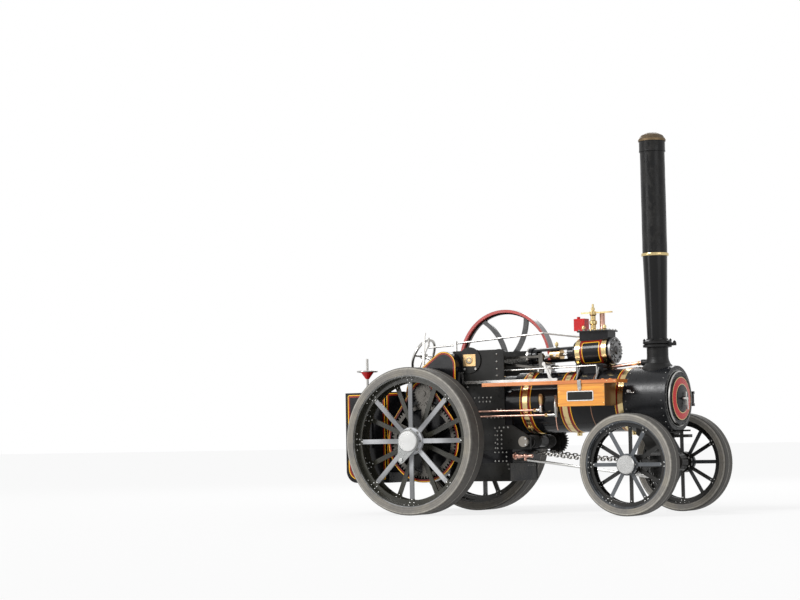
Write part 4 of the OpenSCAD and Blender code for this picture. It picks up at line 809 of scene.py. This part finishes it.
class ENGINE_OT_cylinder(Dress):
    """Lined panel on the cylinder, nuts on chest and cover, guide ring, plug, copper column and oil cups."""
    bl_idname = "engine.cylinder"
    bl_label = "Cylinder dress"

    def make(self, s):
        r, start, end = 64.5, 549.0, 662.0
        low, high = 50, 142
        wrap = hoop(r, start, end, 0.35, MOTION_START, MOTION_WAY, 96)
        put("lagging_red", [wrap], "dark_red_line", "boiler_paint")
        mid = (start + end) / 2
        half = (end - start) / 2 - 13
        path, up = motion(mid, np.radians(np.linspace(low, high, 40)), r + 0.5)
        put("lagging_panel", [sweep(path, strip(half, -0.3, 0.3), up)], "gloss_black", "boiler_paint")
        loop = corner_loop(-half, half, math.radians(low) * r, math.radians(high) * r, 8, 2.5)
        path, up = motion(mid + loop[:, 0], loop[:, 1] / r, r + 0.8)
        put("lagging_yellow_line", [line_on(path, up, mm(s.yellow_width))], "yellow_line", "boiler_paint")
        chest = [(x, y, CHEST_TOP) for x in np.linspace(750, 894, 7) for y in (-46, 46)
                 if not (y > 0 and x < 770)]
        chest += [(894, y, CHEST_TOP) for y in (-18, 18)]
        cover, _ = motion(np.full(10, 713.0), np.radians(np.arange(10) * 36.0), 50.0)
        nuts = [stamp(nut(5.0, 4.2), chest, UP), stamp(nut(3.6, 2.5), cover, MOTION_WAY)]
        # chest and cover nuts in the same pale metal: painted glints
        put("chest_and_cover_nuts", nuts, "rivet_glint", "steel")
        ring = revolve([(27, 253.5), (44.6, 253.5), (44.6, 262), (37, 262)], MOTION_START, MOTION_WAY, 48)
        plug = revolve([(0, 729.0), (15, 729.0), (15, 731), (8, 733), (0, 733)], MOTION_START, MOTION_WAY, 24)
        put("guide_ring", [ring], "steel")
        put("cover_plug", [plug], "rivet_dark", "steel")
        pillar = [(11.5, 857), (13, 858), (13, 862), (12.4, 863), (12.4, 925), (13, 926), (13, 929),
                  (11.5, 930)]
        put("copper_column", [revolve(pillar, (835, 30, 0), UP, 32)], "copper")
        cup = [(0, -2), (4, -2), (4, 4), (8, 8), (8.5, 20), (7, 22), (4, 23), (4, 26), (0, 27)]
        places = [(CRANK[0], -129, 758), (CRANK[0], 129, 758), (606, 0, 780), (878, -34, CHEST_TOP),
                  (762, -24, CHEST_TOP)]
        put("oil_cups", [revolve(cup, place, UP, 20) for place in places], "brass")


class ENGINE_OT_hornplates(Dress):
    """Rivets and nuts on hornplates and brackets, caps on the crank and steering shafts, and the damper."""
    bl_idname = "engine.hornplates"
    bl_label = "Hornplate fastenings"

    def make(self, s):
        head = rivet(mm(s.rivet_size) * 1.15)
        plate = column(357, 754, 719, 684, 652) + row(549, 233, 255, 278, 300, 322)
        plate += row(530, 259, 278, 297, 316) + row(491, 355, 375) + row(455, 300, 320, 340, 360, 380)
        bracket = column(357, 390, 370, 350, 329, 309) + column(379, 390, 370, 350, 329, 309)
        bracket += column(345, 404, 371, 335, 310) + row(406, 368, 392, 416)
        low = row(248, 335, 355, 376, 396) + column(396, 290, 269) + row(290, 335, 355, 376)
        axle_box = row(308, -42, 42) + row(392, -42, 42)
        heads, nuts = [], []
        for side in (-1, 1):
            for spots, y in ((plate, HORN_Y), (bracket, HORN_Y + 8), (low, HORN_Y - 6)):
                heads.append(stamp(head, lift(spots, side * y), (0, side, 0)))
            for spots, y, size in ((row(688, 186, 247), HORN_Y + 6, (6.5, 6.0)),
                                   (row(602, 197, 150), HORN_Y, (6.0, 6.0)),
                                   (axle_box, HORN_Y + 15, (6.0, 5.0))):
                nuts.append(stamp(nut(*size), lift(spots, side * y), (0, side, 0)))
        # hornplate rivets in pale metal: painted glints
        put("plate_rivets", heads, "rivet_glint", "frame_paint")
        put("bearing_nuts", nuts, "steel")
        self.shaft_ends()
        self.damper()

    @staticmethod
    def shaft_ends():
        """Cap and ring on the crank's bearing, and the cap with two bolts on the steering shaft's end."""
        at = (CRANK[0], -(HORN_Y + 6), CRANK[1])
        cap = revolve([(0, -0.3), (18.5, -0.3), (18.5, 1.8), (15, 2.4), (0, 2.4)], at, RIGHT, 40)
        ring = revolve([(9, 2.2), (14, 2.2), (14, 3.2), (9, 3.2)], at, RIGHT, 40)
        put("bearing_cap", [cap], "bronze")
        put("bearing_ring", [ring], "rivet_dark", "frame_paint")
        x, z = DRUM
        cup = [(0, 11.3), (10.3, 11.3), (10.3, 0), (24.4, 0), (25, 3), (25, 10.8), (23.6, 12.4), (0, 12.8)]
        put("steering_shaft_cap", [revolve(cup, (x, -160, z), RIGHT, 40)], "dusty_steel", "steel")
        bolts = stamp(nut(5.2, 4.2), [(x + 16, -172.6, z + dz) for dz in (-14, 14)], RIGHT)
        put("shaft_cap_bolts", [bolts], "rivet_bright", "steel")

    @staticmethod
    def damper():
        """Slanting plate over the front of the ashpan, its hinge rod, and their rivets and nuts."""
        low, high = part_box("ashpan")
        x, wide, base, top = mm(high[0] - AXLE_X), mm(high[1]) - 4.5, mm(low[2]) + 4.5, mm(high[2]) - 1
        door = slab([(x - 7, top), (x - 4, top), (x - 1.5, base), (x - 4.5, base)], -wide, wide)
        rod = tube([(x - 6, -wide + 4, top - 3), (x - 6, wide - 4, top - 3)], 3.4, 12)
        put("ashpan_damper", [door, rod], "damper_black", "frame_paint")
        spots = [(x - 3.7, y, top - 14) for y in np.linspace(wide - 84, wide - 10, 5)]
        nuts = [(x - 12, -wide - 4.5, top - 7), (x - 7, -wide - 4.5, top - 27)]
        heads = [stamp(rivet(3.0), spots, FORWARD), stamp(nut(5.0, 4.0), nuts, RIGHT)]
        # damper rivets and nuts in pale metal: painted glints
        put("damper_rivets", heads, "rivet_glint", "frame_paint")


def lined(outline, place, normal, s, margin=0.0):
    """A yellow line along the outline, taken in by the margin, and a dark red line just inside it."""
    w, rw = mm(s.yellow_width), mm(s.red_width)
    yellow = line_on(place(outline(margin + w / 2)), normal, w)
    red = line_on(place(outline(margin + w + rw / 2)), normal, rw)
    return yellow, red


class ENGINE_OT_guard_lining(Dress):
    """Yellow and dark red lining round both gear guards."""
    bl_idname = "engine.guard_lining"
    bl_label = "Guard lining"

    def make(self, s):
        lower = [(0, 350, 199), (*THIRD_SHAFT, 65)]
        upper = [(*THIRD_SHAFT, 116), (98, 707, 67), (98, 575, 67)]
        pairs = [lined(lambda inset, c=circles: belt(c, inset), lambda o, y=y: lift(o, -y), RIGHT, s, 1.5)
                 for circles, y in ((lower, GUARD_Y), (upper, UPPER_GUARD_Y))]
        yellows, reds = zip(*pairs)
        put("guard_yellow_lines", yellows, "yellow_line", "boiler_paint")
        put("guard_dark_red_lines", reds, "dark_red_line", "boiler_paint")


class ENGINE_OT_tender(Dress):
    """Lining panels on the tender's sides and back, rivets along its edges, and the brake's red cone."""
    bl_idname = "engine.tender"
    bl_label = "Tender dress"

    def make(self, s):
        pairs, heads, head = [], [], rivet(2.6)
        for side in (-1, 1):
            for box, radii in (((-456, -240, 166, 580), (52, 6, 6, 6)), ((-229, -137, 232, 584), 6)):
                pairs.append(lined(lambda inset, b=box, q=radii: self.panel(b, inset, q),
                                   lambda o, y=side * TENDER_Y: lift(o, y), (0, side, 0), s))
            edge = row(586, *np.arange(-462, -130, 24)) + column(-464, *np.arange(226, 580, 24))
            heads.append(stamp(head, lift(edge, side * TENDER_Y), (0, side, 0)))
        pairs.append(lined(lambda inset: self.panel((-184, 184, 226, 574), inset, 6),
                           lambda o: np.insert(o, 0, TENDER_BACK, axis=1), BACK, s))
        levels, across = (218, 583), np.arange(-186, 187, 24)
        edge = [(TENDER_BACK, y, z) for z in levels for y in across if abs(y) > 60 or z > 300]
        heads.append(stamp(head, edge, BACK))
        yellows, reds = zip(*pairs)
        put("tender_yellow_lines", yellows, "yellow_line", "boiler_paint")
        put("tender_dark_red_lines", reds, "dark_red_line", "boiler_paint")
        put("tender_rivets", heads, "gloss_black", "boiler_paint")
        cone = [(6.2, 655.5), (8.6, 655.5), (32.6, 689), (32.6, 690.4), (6.2, 690.4)]
        put("brake_cone", [revolve(cone, (-325, -220, 0), UP, 40)], "bright_red", "red")

    @staticmethod
    def panel(box, inset, radii):
        """The box's round cornered edge, taken in on all sides."""
        return corner_loop(box[0] + inset, box[1] - inset, box[2] + inset, box[3] - inset, radii)


def on_boiler(profile, x, n=96):
    """A profile turned about the boiler's centre line, with its heights counted forwards from x."""
    return revolve(profile, (x, 0, BOILER_Z), FORWARD, n)


class ENGINE_OT_smokebox(Dress):
    """Rivets, blower tap and hitch on the smokebox, and the door's red ring, rim, handles and rivets."""
    bl_idname = "engine.smokebox"
    bl_label = "Smokebox dress"

    def make(self, s):
        size = mm(s.rivet_size)
        rear, front = SMOKEBOX_REAR, SMOKEBOX_FRONT
        a = full_turn(s.smokebox_rivets, 0.06)
        out = np.stack([np.zeros_like(a), np.sin(a), np.cos(a)], -1)
        heads = [stamp(rivet(size * 0.9), out * SMOKEBOX_R + [x, 0, BOILER_Z], out)
                 for x in (rear + 14, front - 16)]
        b = full_turn(24, 0.13)
        out = np.stack([np.zeros_like(b), np.cos(b), np.sin(b)], -1)[np.cos(b) < 0.93]
        heads.append(stamp(rivet(size * 0.8), out * 137 + [front, 0, BOILER_Z], FORWARD))
        # rivet heads lighter than the smokebox's black: painted glints
        put("smokebox_rivets", heads, "rivet_dark", "smoke_black")
        x0 = front + 0.5
        ring = on_boiler([(66.5, 18.6), (95.6, 14.8), (95.6, 15.9), (66.5, 19.8)], x0)
        put("door_ring", [ring], "bright_red", "red", "smokebox_door")
        edges = [on_boiler([(q - 1.6, h - 1.2), (q + 1.6, h - 1.4), (q + 1.6, h + 0.5), (q, h + 1.2),
                            (q - 1.6, h + 0.9)], x0) for q, h in ((96.6, 15.6), (65.4, 19.8))]
        put("door_ring_edges", edges, "brass", body="smokebox_door")
        rim = on_boiler([(120.5, 12), (124.2, 8), (124.6, 7), (125.0, 8.5), (121, 13)], x0)
        boss = on_boiler([(0, 39.5), (9.4, 39.5), (9.4, 41.5), (6.5, 45), (0, 45.5)], x0, 24)
        put("door_rim_and_boss", [rim, boss], "steel", body="smokebox_door")
        put("door_handles", self.handles(x0), "rivet_bright", "steel", "smokebox_door")
        seat = [(125.2, -0.2), (132, -0.2), (132, 0.6), (130.8, 1.6), (126, 1.6), (125.2, 0.8)]
        # door seat ring in grey metal: a painted highlight round the door
        put("door_seat", [on_boiler(seat, front)], "rivet_dark", "smoke_black")
        tap = [(0, -1), (7, -1), (7, 3), (4, 4), (4, 14), (7, 16), (7, 20), (0, 21)]
        lever = [(rear + dx, -164, BOILER_Z + dz) for dx, dz in ((34, 37), (52, 30), (66, 30))]
        tap = revolve(tap, (rear + 34, -146.5, BOILER_Z + 37), RIGHT, 20)
        put("blower_tap", [tap, tube(lever, 2.6, 8)], "steel")
        eye = revolve([(10, -4), (22, -4), (22, 4), (10, 4)], (front + 33, 0, 376), UP, 40)
        bar = [(front - 30, -20), (front + 22, -20), (front + 22, 20), (front - 30, 20)]
        bar = slab(bar, 372.5, 379.5, "xy")
        put("hitch_plate", [eye, bar], "casting", "cast")
        b = full_turn(20, 0.1)
        spots = np.stack([np.full(20, x0 + 12), 115 * np.cos(b), 115 * np.sin(b) + BOILER_Z], -1)
        put("door_rivets", [stamp(rivet(2.6), spots, FORWARD)], "smoke_black", body="smokebox_door")

    @staticmethod
    def handles(x0):
        """Two flat handles near upright on the boss, and a level grip."""
        bars = []
        for angle, low, high, x in ((80, -30.5, 30.5, 36), (96, -50.5, 4.5, 42)):
            d = np.array([0, math.cos(math.radians(angle)), math.sin(math.radians(angle))])
            path = [np.array([x0 + x, 0, BOILER_Z]) + d * q for q in (low, high)]
            bars.append(sweep(path, strip(4.5, -3.5, 3.5), FORWARD))
        grip = [(0, -32), (3.4, -32), (4.6, -29), (4.6, -14), (5.6, -12), (5.6, 12), (4.6, 14), (0, 14)]
        return bars + [revolve(grip, (x0 + 39, 0, BOILER_Z), LEFT, 20)]


class ENGINE_OT_chimney(Dress):
    """Brass ring between the chimney's two lengths, beads at its top and foot, and nuts on its flange."""
    bl_idname = "engine.chimney"
    bl_label = "Chimney dress"

    def make(self, s):
        at = (CHIMNEY_X, 0, 0)
        ring = [(57.2, 1179.6), (62.2, 1179.6), (63.4, 1183), (63.4, 1189), (62.2, 1192.4), (57.2, 1192.4)]
        put("chimney_brass_ring", [revolve(ring, at, UP, 72)], "brass")
        bead = revolve([(56.8, 1662), (60.6, 1663), (61.2, 1666), (60.6, 1669), (56.8, 1670)], at, UP, 72)
        low = revolve([(45.6, 793), (51, 793), (50.4, 799), (46.2, 800)], at, UP, 72)
        put("chimney_beads", [bead, low], "chimney_black")
        a = np.radians([25, 90, 145, 215, 270, 335])
        spots = np.stack([CHIMNEY_X + 60 * np.cos(a), 60 * np.sin(a), np.full(6, 788.0)], -1)
        nuts = [stamp(nut(6, 7), spots, UP), stamp(nut(7, 6), [(CHIMNEY_X + 86, 0, 779)], UP)]
        put("chimney_nuts", nuts, "casting", "cast")


class ENGINE_OT_toolbox(Dress):
    """Blank plate in a bright frame, hasp, and screws on the toolbox and its long lid."""
    bl_idname = "engine.toolbox"
    bl_label = "Toolbox dress"

    def make(self, s):
        plate = (797, 928, 521, 562, 3)
        put("toolbox_plate", [slab(corner_loop(*plate), -269.2, -267.8)], "name_plate", "frame_paint")
        bevelled = [(-2.4, -0.8), (2.4, -0.8), (2.0, 1.2), (-2.0, 1.2)]
        edge = sweep(lift(corner_loop(*plate, 4), -268.9), bevelled, RIGHT, True)
        put("plate_frame", [edge], "rivet_bright", "steel")
        x = 861
        fall = ((-274.2, 613.5), (-274.2, 598), (-272.5, 590), (-270.5, 582), (-270.3, 574))
        drop = [(x, y, z) for y, z in fall]
        eye = revolve([(3.2, -1.5), (7, -1.5), (7, 1.5), (3.2, 1.5)], (x, -271.5, 573), LEFT, 24)
        put("toolbox_hasp", [sweep(drop, strip(9, -1, 1), RIGHT), eye], "steel", body="toolbox_lid")
        screw = rivet(2.6, 0.4)
        spots = [(x, BOX_FACE_Y, z) for x in (753, 981) for z in (508, 532, 560, 585)]
        put("toolbox_screws", [stamp(screw, spots, RIGHT)], "brass")
        spots = [(x, BOX_FACE_Y - 4, 605.5) for x in (362, 480, 600, 720, 1000, 1038)]
        put("lid_screws", [stamp(screw, spots, RIGHT)], "brass", body="toolbox_lid")


class ENGINE_OT_pipework(Dress):
    """Unions, elbows and a check valve on the feed pipes, drain, injector, and nuts on the exhaust pipe."""
    bl_idname = "engine.pipework"
    bl_label = "Pipework"

    def make(self, s):
        y = PIPE_Y
        t = np.linspace(0, np.pi, 16)
        bulb = np.stack([13.5 * np.sin(t) ** 0.7, -27 * np.cos(t)], -1)
        put("check_valve_bulb", [revolve(bulb, (597, y, 532), UP, 28)], "bronze")
        tall = [(0, 449), (8, 449), (8, 470), (10.8, 474), (10.8, 520), (7.8, 524), (7.8, 546), (4, 551),
                (0, 551)]
        short = [(0, 473), (9, 473), (9, 498), (7, 503), (0, 503)]
        elbows = [revolve(tall, (675, y, 0), UP, 24), tube([(634, y, 460), (676, y, 460)], 6.6, 16),
                  tube([(572, y, 484), (598, y, 484)], 6.6, 16), revolve(short, (597, y, 0), UP, 24)]
        put("pipe_elbows", elbows, "steel")
        spots = [(560, y, 484), (620, y, 460), (240, y, 484), (240, y, 460)]
        put("pipe_unions", [stamp(nut(9.0, 13, 0.75), spots, FORWARD)], "brass")
        drain = tube([(675, y, 456), (676, y, 430), (679, y, 408), (684, y, 388)], 2.6, 10)
        put("drain_pipe", [drain], "copper")
        body = [(0, 430.2), (17, 430.2), (17, 436), (8, 438), (8, 446), (12, 449), (12, 458), (9, 462),
                (8, 478), (11, 482), (11, 494), (7, 500), (6, 516), (9, 519), (9, 527), (4, 530), (0, 530)]
        drop = [(0, -22), (7, -22), (8, -17), (5, -12), (5, 0), (0, 0)]
        parts = [revolve(body, (0, -118, 271), FORWARD, 28), revolve(drop, (488, -118, 271), UP, 24)]
        put("injector", parts, "copper")
        slope = (1, 0, 0.08)
        front = stamp(nut(12, 9, 0.7), [(1030, 0, 688.6)], slope)
        rear = stamp(nut(12, 8, 0.7), [(890, 0, 677.0)], slope)
        put("exhaust_unions", [front, rear], "bronze")


class ENGINE_OT_chains(Dress):
    """Steering chains of round wire links, turned by turns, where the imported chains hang."""
    bl_idname = "engine.chains"
    bl_label = "Steering chains"

    def make(self, s):
        for side, word in SIDES:
            body = "steering_chain_" + word
            piece = put("chain_links_" + word, self.links(side), "chain_iron", "steel", body)
            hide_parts("steering_chain_" + word)

    @staticmethod
    def links(side, wire=5.5, n=29, play=0.3, sag=14.0):
        """Places at share t from drum to eye, lower by 4 sag t (1 - t), and an oval link between two."""
        start = np.array([503.0, side * 75, 292.0])
        end = np.array([WHEELBASE - 72, side * 150, 251.0])
        t = np.linspace(0, 1, n + 1)
        line = start + (end - start) * t[:, None]
        line[:, 2] -= 4 * sag * t * (1 - t)
        half = np.linalg.norm(end - start) / n / 2 + wire + play / 2 - wire / 2
        bend = wire * 1.1
        a = np.linspace(-np.pi / 2, np.pi / 2, 7)
        right = np.stack([half - bend + bend * np.cos(a), bend * np.sin(a)], -1)
        oval = np.vstack([right, -right])
        parts = []
        for i in range(n):
            run = unit(line[i + 1] - line[i])
            flat = unit(np.cross([0, 0, 1.0], run))
            up = np.cross(run, flat)
            wide, normal = (flat, up) if i % 2 == 0 else (up, -flat)
            path = (line[i] + line[i + 1]) / 2 + oval[:, :1] * run + oval[:, 1:] * wide
            parts.append(sweep(path, circle_profile(wire / 2, 8), normal, True))
        eye = [(5.05, -6), (11.2, -6), (12, -5), (12, 5), (11.2, 6), (5.05, 6)]
        return parts + [revolve(eye, (WHEELBASE - 58, side * 150, 251), UP, 32)]


class ENGINE_OT_steering(Dress):
    """Thread of the steering worm, nut of the handwheel and sleeve of the stay rod."""
    bl_idname = "engine.steering"
    bl_label = "Steering worm"

    def make(self, s):
        tilt, reach = math.radians(25.4), 74
        low = np.array([DRUM[0] + reach * math.sin(tilt), HORN_Y + 29, DRUM[1] + reach * math.cos(tilt)])
        along = np.array([-math.cos(tilt), 0, math.sin(tilt)])
        a, b = basis(along)
        t = np.linspace(0, 1, 120)[:, None]
        turn = t * 2 * np.pi * 4.5
        path = low + along * (-26 + 56 * t) + 11.2 * (np.cos(turn) * a + np.sin(turn) * b)
        put("worm_thread", [sweep(path, circle_profile(2.6, 6), along)], "steel")
        cap = revolve([(0, 8), (11, 8), (11, 15), (7, 18), (0, 19)], low + along * 863, along, 24)
        put("handwheel_nut", [cap], "brass")
        run = np.array([659.5, 0, -87.5])
        end = np.linalg.norm(run)
        sleeve = [(6, 0), (9, 1), (9, 9), (6.5, 12), (6.5, end - 14), (9, end - 11), (9, end - 2), (6, end)]
        put("stay_rod_sleeve", [revolve(sleeve, (432.5, 0, 252.1), run, 20)], "rivet_bright", "steel")


class ENGINE_OT_footplate(Dress):
    """Stay heads, water gauge and pressure gauge at the back of the firebox."""
    bl_idname = "engine.footplate"
    bl_label = "Footplate fittings"

    def make(self, s):
        y, z = (v.ravel() for v in np.meshgrid(np.arange(-112, 113, 32.0), np.arange(262, 640, 36.0)))
        off_hole = np.hypot(y, z - FIREHOLE_Z) > 78
        on_plate = np.hypot(y, np.maximum(z - BOILER_Z, 0)) < 122
        off_floor = np.abs(z - 388) >= 14
        off_hinge = (y <= 30) | (np.abs(z - FIREHOLE_Z) >= 40)
        free = off_hole & on_plate & off_floor & off_hinge
        spots = np.stack([np.full(free.sum(), BACK_PLATE_X), y[free], z[free]], -1)
        put("firebox_stays", [stamp(rivet(4.2), spots, BACK)], "gloss_black", "boiler_paint")
        self.water_gauge(38, -58)
        self.pressure_gauge(52, 46, 690)

    @staticmethod
    def water_gauge(x, y):
        """A glass between two cocks, with a drain under the lower one."""
        arm = [(0, 0), (6, 0), (6, 16), (9, 18), (9, 28), (5, 30), (0, 30)]
        plug = [(0, -9), (6.5, -9), (7.5, -5), (7.5, 5), (6.5, 9), (0, 9)]
        cocks = []
        for z in (540, 622):
            cocks += [revolve(arm, (BACK_PLATE_X + 1, y, z), BACK, 20), revolve(plug, (x, y, z), UP, 20)]
        cocks.append(revolve([(0, -24), (4, -24), (4, -8), (0, -8)], (x, y, 540), UP, 12))
        put("gauge_cocks", cocks, "brass")
        pipe = revolve([(0, 548), (5, 548), (5, 614), (0, 614)], (x, y, 0), UP, 20)
        put("gauge_glass", [pipe], "gauge_glass", "steel")

    @staticmethod
    def pressure_gauge(x, y, z):
        """Brass case on a bent stem, white dial, thirteen marks and a hand."""
        case = [(0, -4), (24, -4), (28, 0), (28, 9), (29.5, 10), (29.5, 13), (26, 13), (26, 10), (0, 10)]
        stem = tube([(62, y, 640), (62, y, 655), (56, y, 666), (x, y, 672)], 3.2, 10)
        put("pressure_gauge", [revolve(case, (x, y, z), BACK, 40), stem], "brass")
        dial = revolve([(0, 10), (25.8, 10), (25.8, 10.8), (0, 10.8)], (x, y, z), BACK, 40)
        put("gauge_dial", [dial], "dial_white", "steel")
        marks = []
        for angle in np.radians(np.linspace(-45, 225, 13)):
            d = np.array([0, -math.cos(angle), math.sin(angle)])
            p = np.array([x - 10.8, y, z])
            marks.append(sweep([p + d * 19, p + d * 23], strip(0.5, -0.2, 0.3), BACK))
        d, p = np.array([0, 0.72, 0.69]), np.array([x - 11.2, y, z])
        marks.append(sweep([p - d * 5, p + d * 19], strip(0.8, -0.3, 0.3), BACK))
        put("gauge_marks", marks, "name_plate", "frame_paint")


def seen(tree, share):
    """One for rays from the camera, a mirror or glass, times the share."""
    path = tree.nodes.new("ShaderNodeLightPath")
    total = path.outputs["Is Camera Ray"]
    for kind in ("Is Glossy Ray", "Is Transmission Ray"):
        node = tree.nodes.new("ShaderNodeMath")
        node.operation = "MAXIMUM"
        tree.links.new(total, node.inputs[0])
        tree.links.new(path.outputs[kind], node.inputs[1])
        total = node.outputs[0]
    node = tree.nodes.new("ShaderNodeMath")
    node.operation = "MULTIPLY"
    node.inputs[1].default_value = share
    tree.links.new(total, node.inputs[0])
    return node.outputs[0]


def plain_where_seen(tree, share, lit, plain, end):
    """The plain shader for rays from the camera, by the share, and the lit one for all else."""
    mix = tree.nodes.new("ShaderNodeMixShader")
    for source, socket in zip((seen(tree, share), lit.outputs[0], plain.outputs[0]), mix.inputs):
        tree.links.new(source, socket)
    tree.links.new(mix.outputs[0], tree.nodes[end].inputs["Surface"])


def placed(name, data, right, up, back, place):
    """An object in the scene at the place, with its own axes along three directions."""
    thing = bpy.data.objects.new(name, data)
    axes = np.column_stack([right, up, back, place])
    thing.matrix_world = Matrix(np.vstack([axes, [0, 0, 0, 1]]).tolist())
    bpy.context.scene.collection.objects.link(thing)
    return thing


class ENGINE_OT_studio(Dress):
    """Pale floor, white backdrop, soft lamps and the camera at the photograph's angle."""
    bl_idname = "engine.studio"
    bl_label = "Studio"

    def make(self, s):
        scene = bpy.context.scene
        self.floor(scene)
        scene.world = self.sky(0.45 * s.lamp_level)
        for name, kind, place, size, power in (("key", "SUN", (-3.2, -5.6, 5.2), 0.35, 2.4),
                                               ("fill", "AREA", (5.5, -2.5, 2.6), 3.0, 35),
                                               ("glare", "AREA", (-4.2, -6.0, 1.9), 2.4, 60),
                                               ("back", "AREA", (-2.0, 4.5, 4.0), 3.0, 90)):
            data = bpy.data.lights.new("lamp_" + name, kind)
            data.energy = power * s.lamp_level
            setattr(data, "angle" if kind == "SUN" else "size", size)
            back = unit(np.array(place) - np.array([0, 0, 0.6]))
            right = unit(np.cross([0, 0, 1.0], back))
            placed("lamp_" + name, data, right, np.cross(back, right), back, place)
        scene.camera = self.camera(*(math.radians(v) for v in (32.45, 3.98, -1.04)))
        scene.view_settings.view_transform = "Standard"

    @staticmethod
    def floor(scene):
        """A wide pale floor that shows white to the camera by four fifths, so that its shadow stays."""
        mesh = bpy.data.meshes.new("studio_floor")
        mesh.from_pydata([(-60, -60, 0), (60, -60, 0), (60, 60, 0), (-60, 60, 0)], [], [(0, 1, 2, 3)])
        floor = bpy.data.objects.new("studio_floor", mesh)
        scene.collection.objects.link(floor)
        material = bpy.data.materials.new("studio_floor")
        material.use_nodes = True
        tree = material.node_tree
        shader = tree.nodes["Principled BSDF"]
        shader.inputs["Base Color"].default_value = (0.80, 0.80, 0.80, 1)
        shader.inputs["Roughness"].default_value = 0.9
        shader.inputs["Specular IOR Level"].default_value = 0.1
        plain_where_seen(tree, 0.8, shader, tree.nodes.new("ShaderNodeEmission"), "Material Output")
        mesh.materials.append(material)

    @staticmethod
    def sky(level):
        """White light of that level from all round, and plain white where the camera sees past the floor."""
        world = bpy.data.worlds.new("studio")
        world.use_nodes = True
        tree = world.node_tree
        sky, plain = tree.nodes["Background"], tree.nodes.new("ShaderNodeBackground")
        for node in (sky, plain):
            node.inputs[0].default_value = (1, 1, 1, 1)
        sky.inputs[1].default_value = level
        plain_where_seen(tree, 1.0, sky, plain, "World Output")
        return world

    @staticmethod
    def camera(yaw, pitch, roll):
        """The camera fitted to the photograph: turned by yaw from +Y, raised by pitch and rolled."""
        look = np.array([-math.sin(yaw) * math.cos(pitch), math.cos(yaw) * math.cos(pitch), math.sin(pitch)])
        flat = np.array([math.cos(yaw), math.sin(yaw), 0])
        high = np.cross(flat, look)
        right = flat * math.cos(roll) + high * math.sin(roll)
        up = high * math.cos(roll) - flat * math.sin(roll)
        data = bpy.data.cameras.new("photo_camera")
        data.lens, data.sensor_width, data.clip_end = 90.0, 36.0, 200.0
        return placed("photo_camera", data, right, up, -look, (5.06 + AXLE_X, -8.38, 0.36))


# Panel, registration and start

OPERATORS = (
    ENGINE_OT_finishes, ENGINE_OT_wheels, ENGINE_OT_boiler_lining, ENGINE_OT_cylinder, ENGINE_OT_hornplates,
    ENGINE_OT_guard_lining, ENGINE_OT_tender, ENGINE_OT_smokebox, ENGINE_OT_chimney, ENGINE_OT_toolbox,
    ENGINE_OT_pipework, ENGINE_OT_chains, ENGINE_OT_steering, ENGINE_OT_footplate, ENGINE_OT_studio,
)


class ENGINE_PT_panel(bpy.types.Panel):
    """Lists the settings and the steps in the sidebar."""
    bl_idname = "ENGINE_PT_panel"
    bl_label = "Traction Engine"
    bl_space_type = "VIEW_3D"
    bl_region_type = "UI"
    bl_category = "Traction Engine"

    def draw(self, context):
        settings = context.scene.traction_engine
        for key in TractionEngineSettings.__annotations__:
            self.layout.prop(settings, key)
        for operator in OPERATORS:
            self.layout.operator(operator.bl_idname)


CLASSES = (TractionEngineSettings, *OPERATORS, ENGINE_PT_panel)


def register():
    for cls in CLASSES:
        bpy.utils.register_class(cls)
    bpy.types.Scene.traction_engine = PointerProperty(type=TractionEngineSettings)


def unregister():
    del bpy.types.Scene.traction_engine
    for cls in reversed(CLASSES):
        bpy.utils.unregister_class(cls)


def main():
    register()
    for operator in OPERATORS:
        area, name = operator.bl_idname.split(".")
        getattr(getattr(bpy.ops, area), name)()


if __name__ == "__main__":
    main()
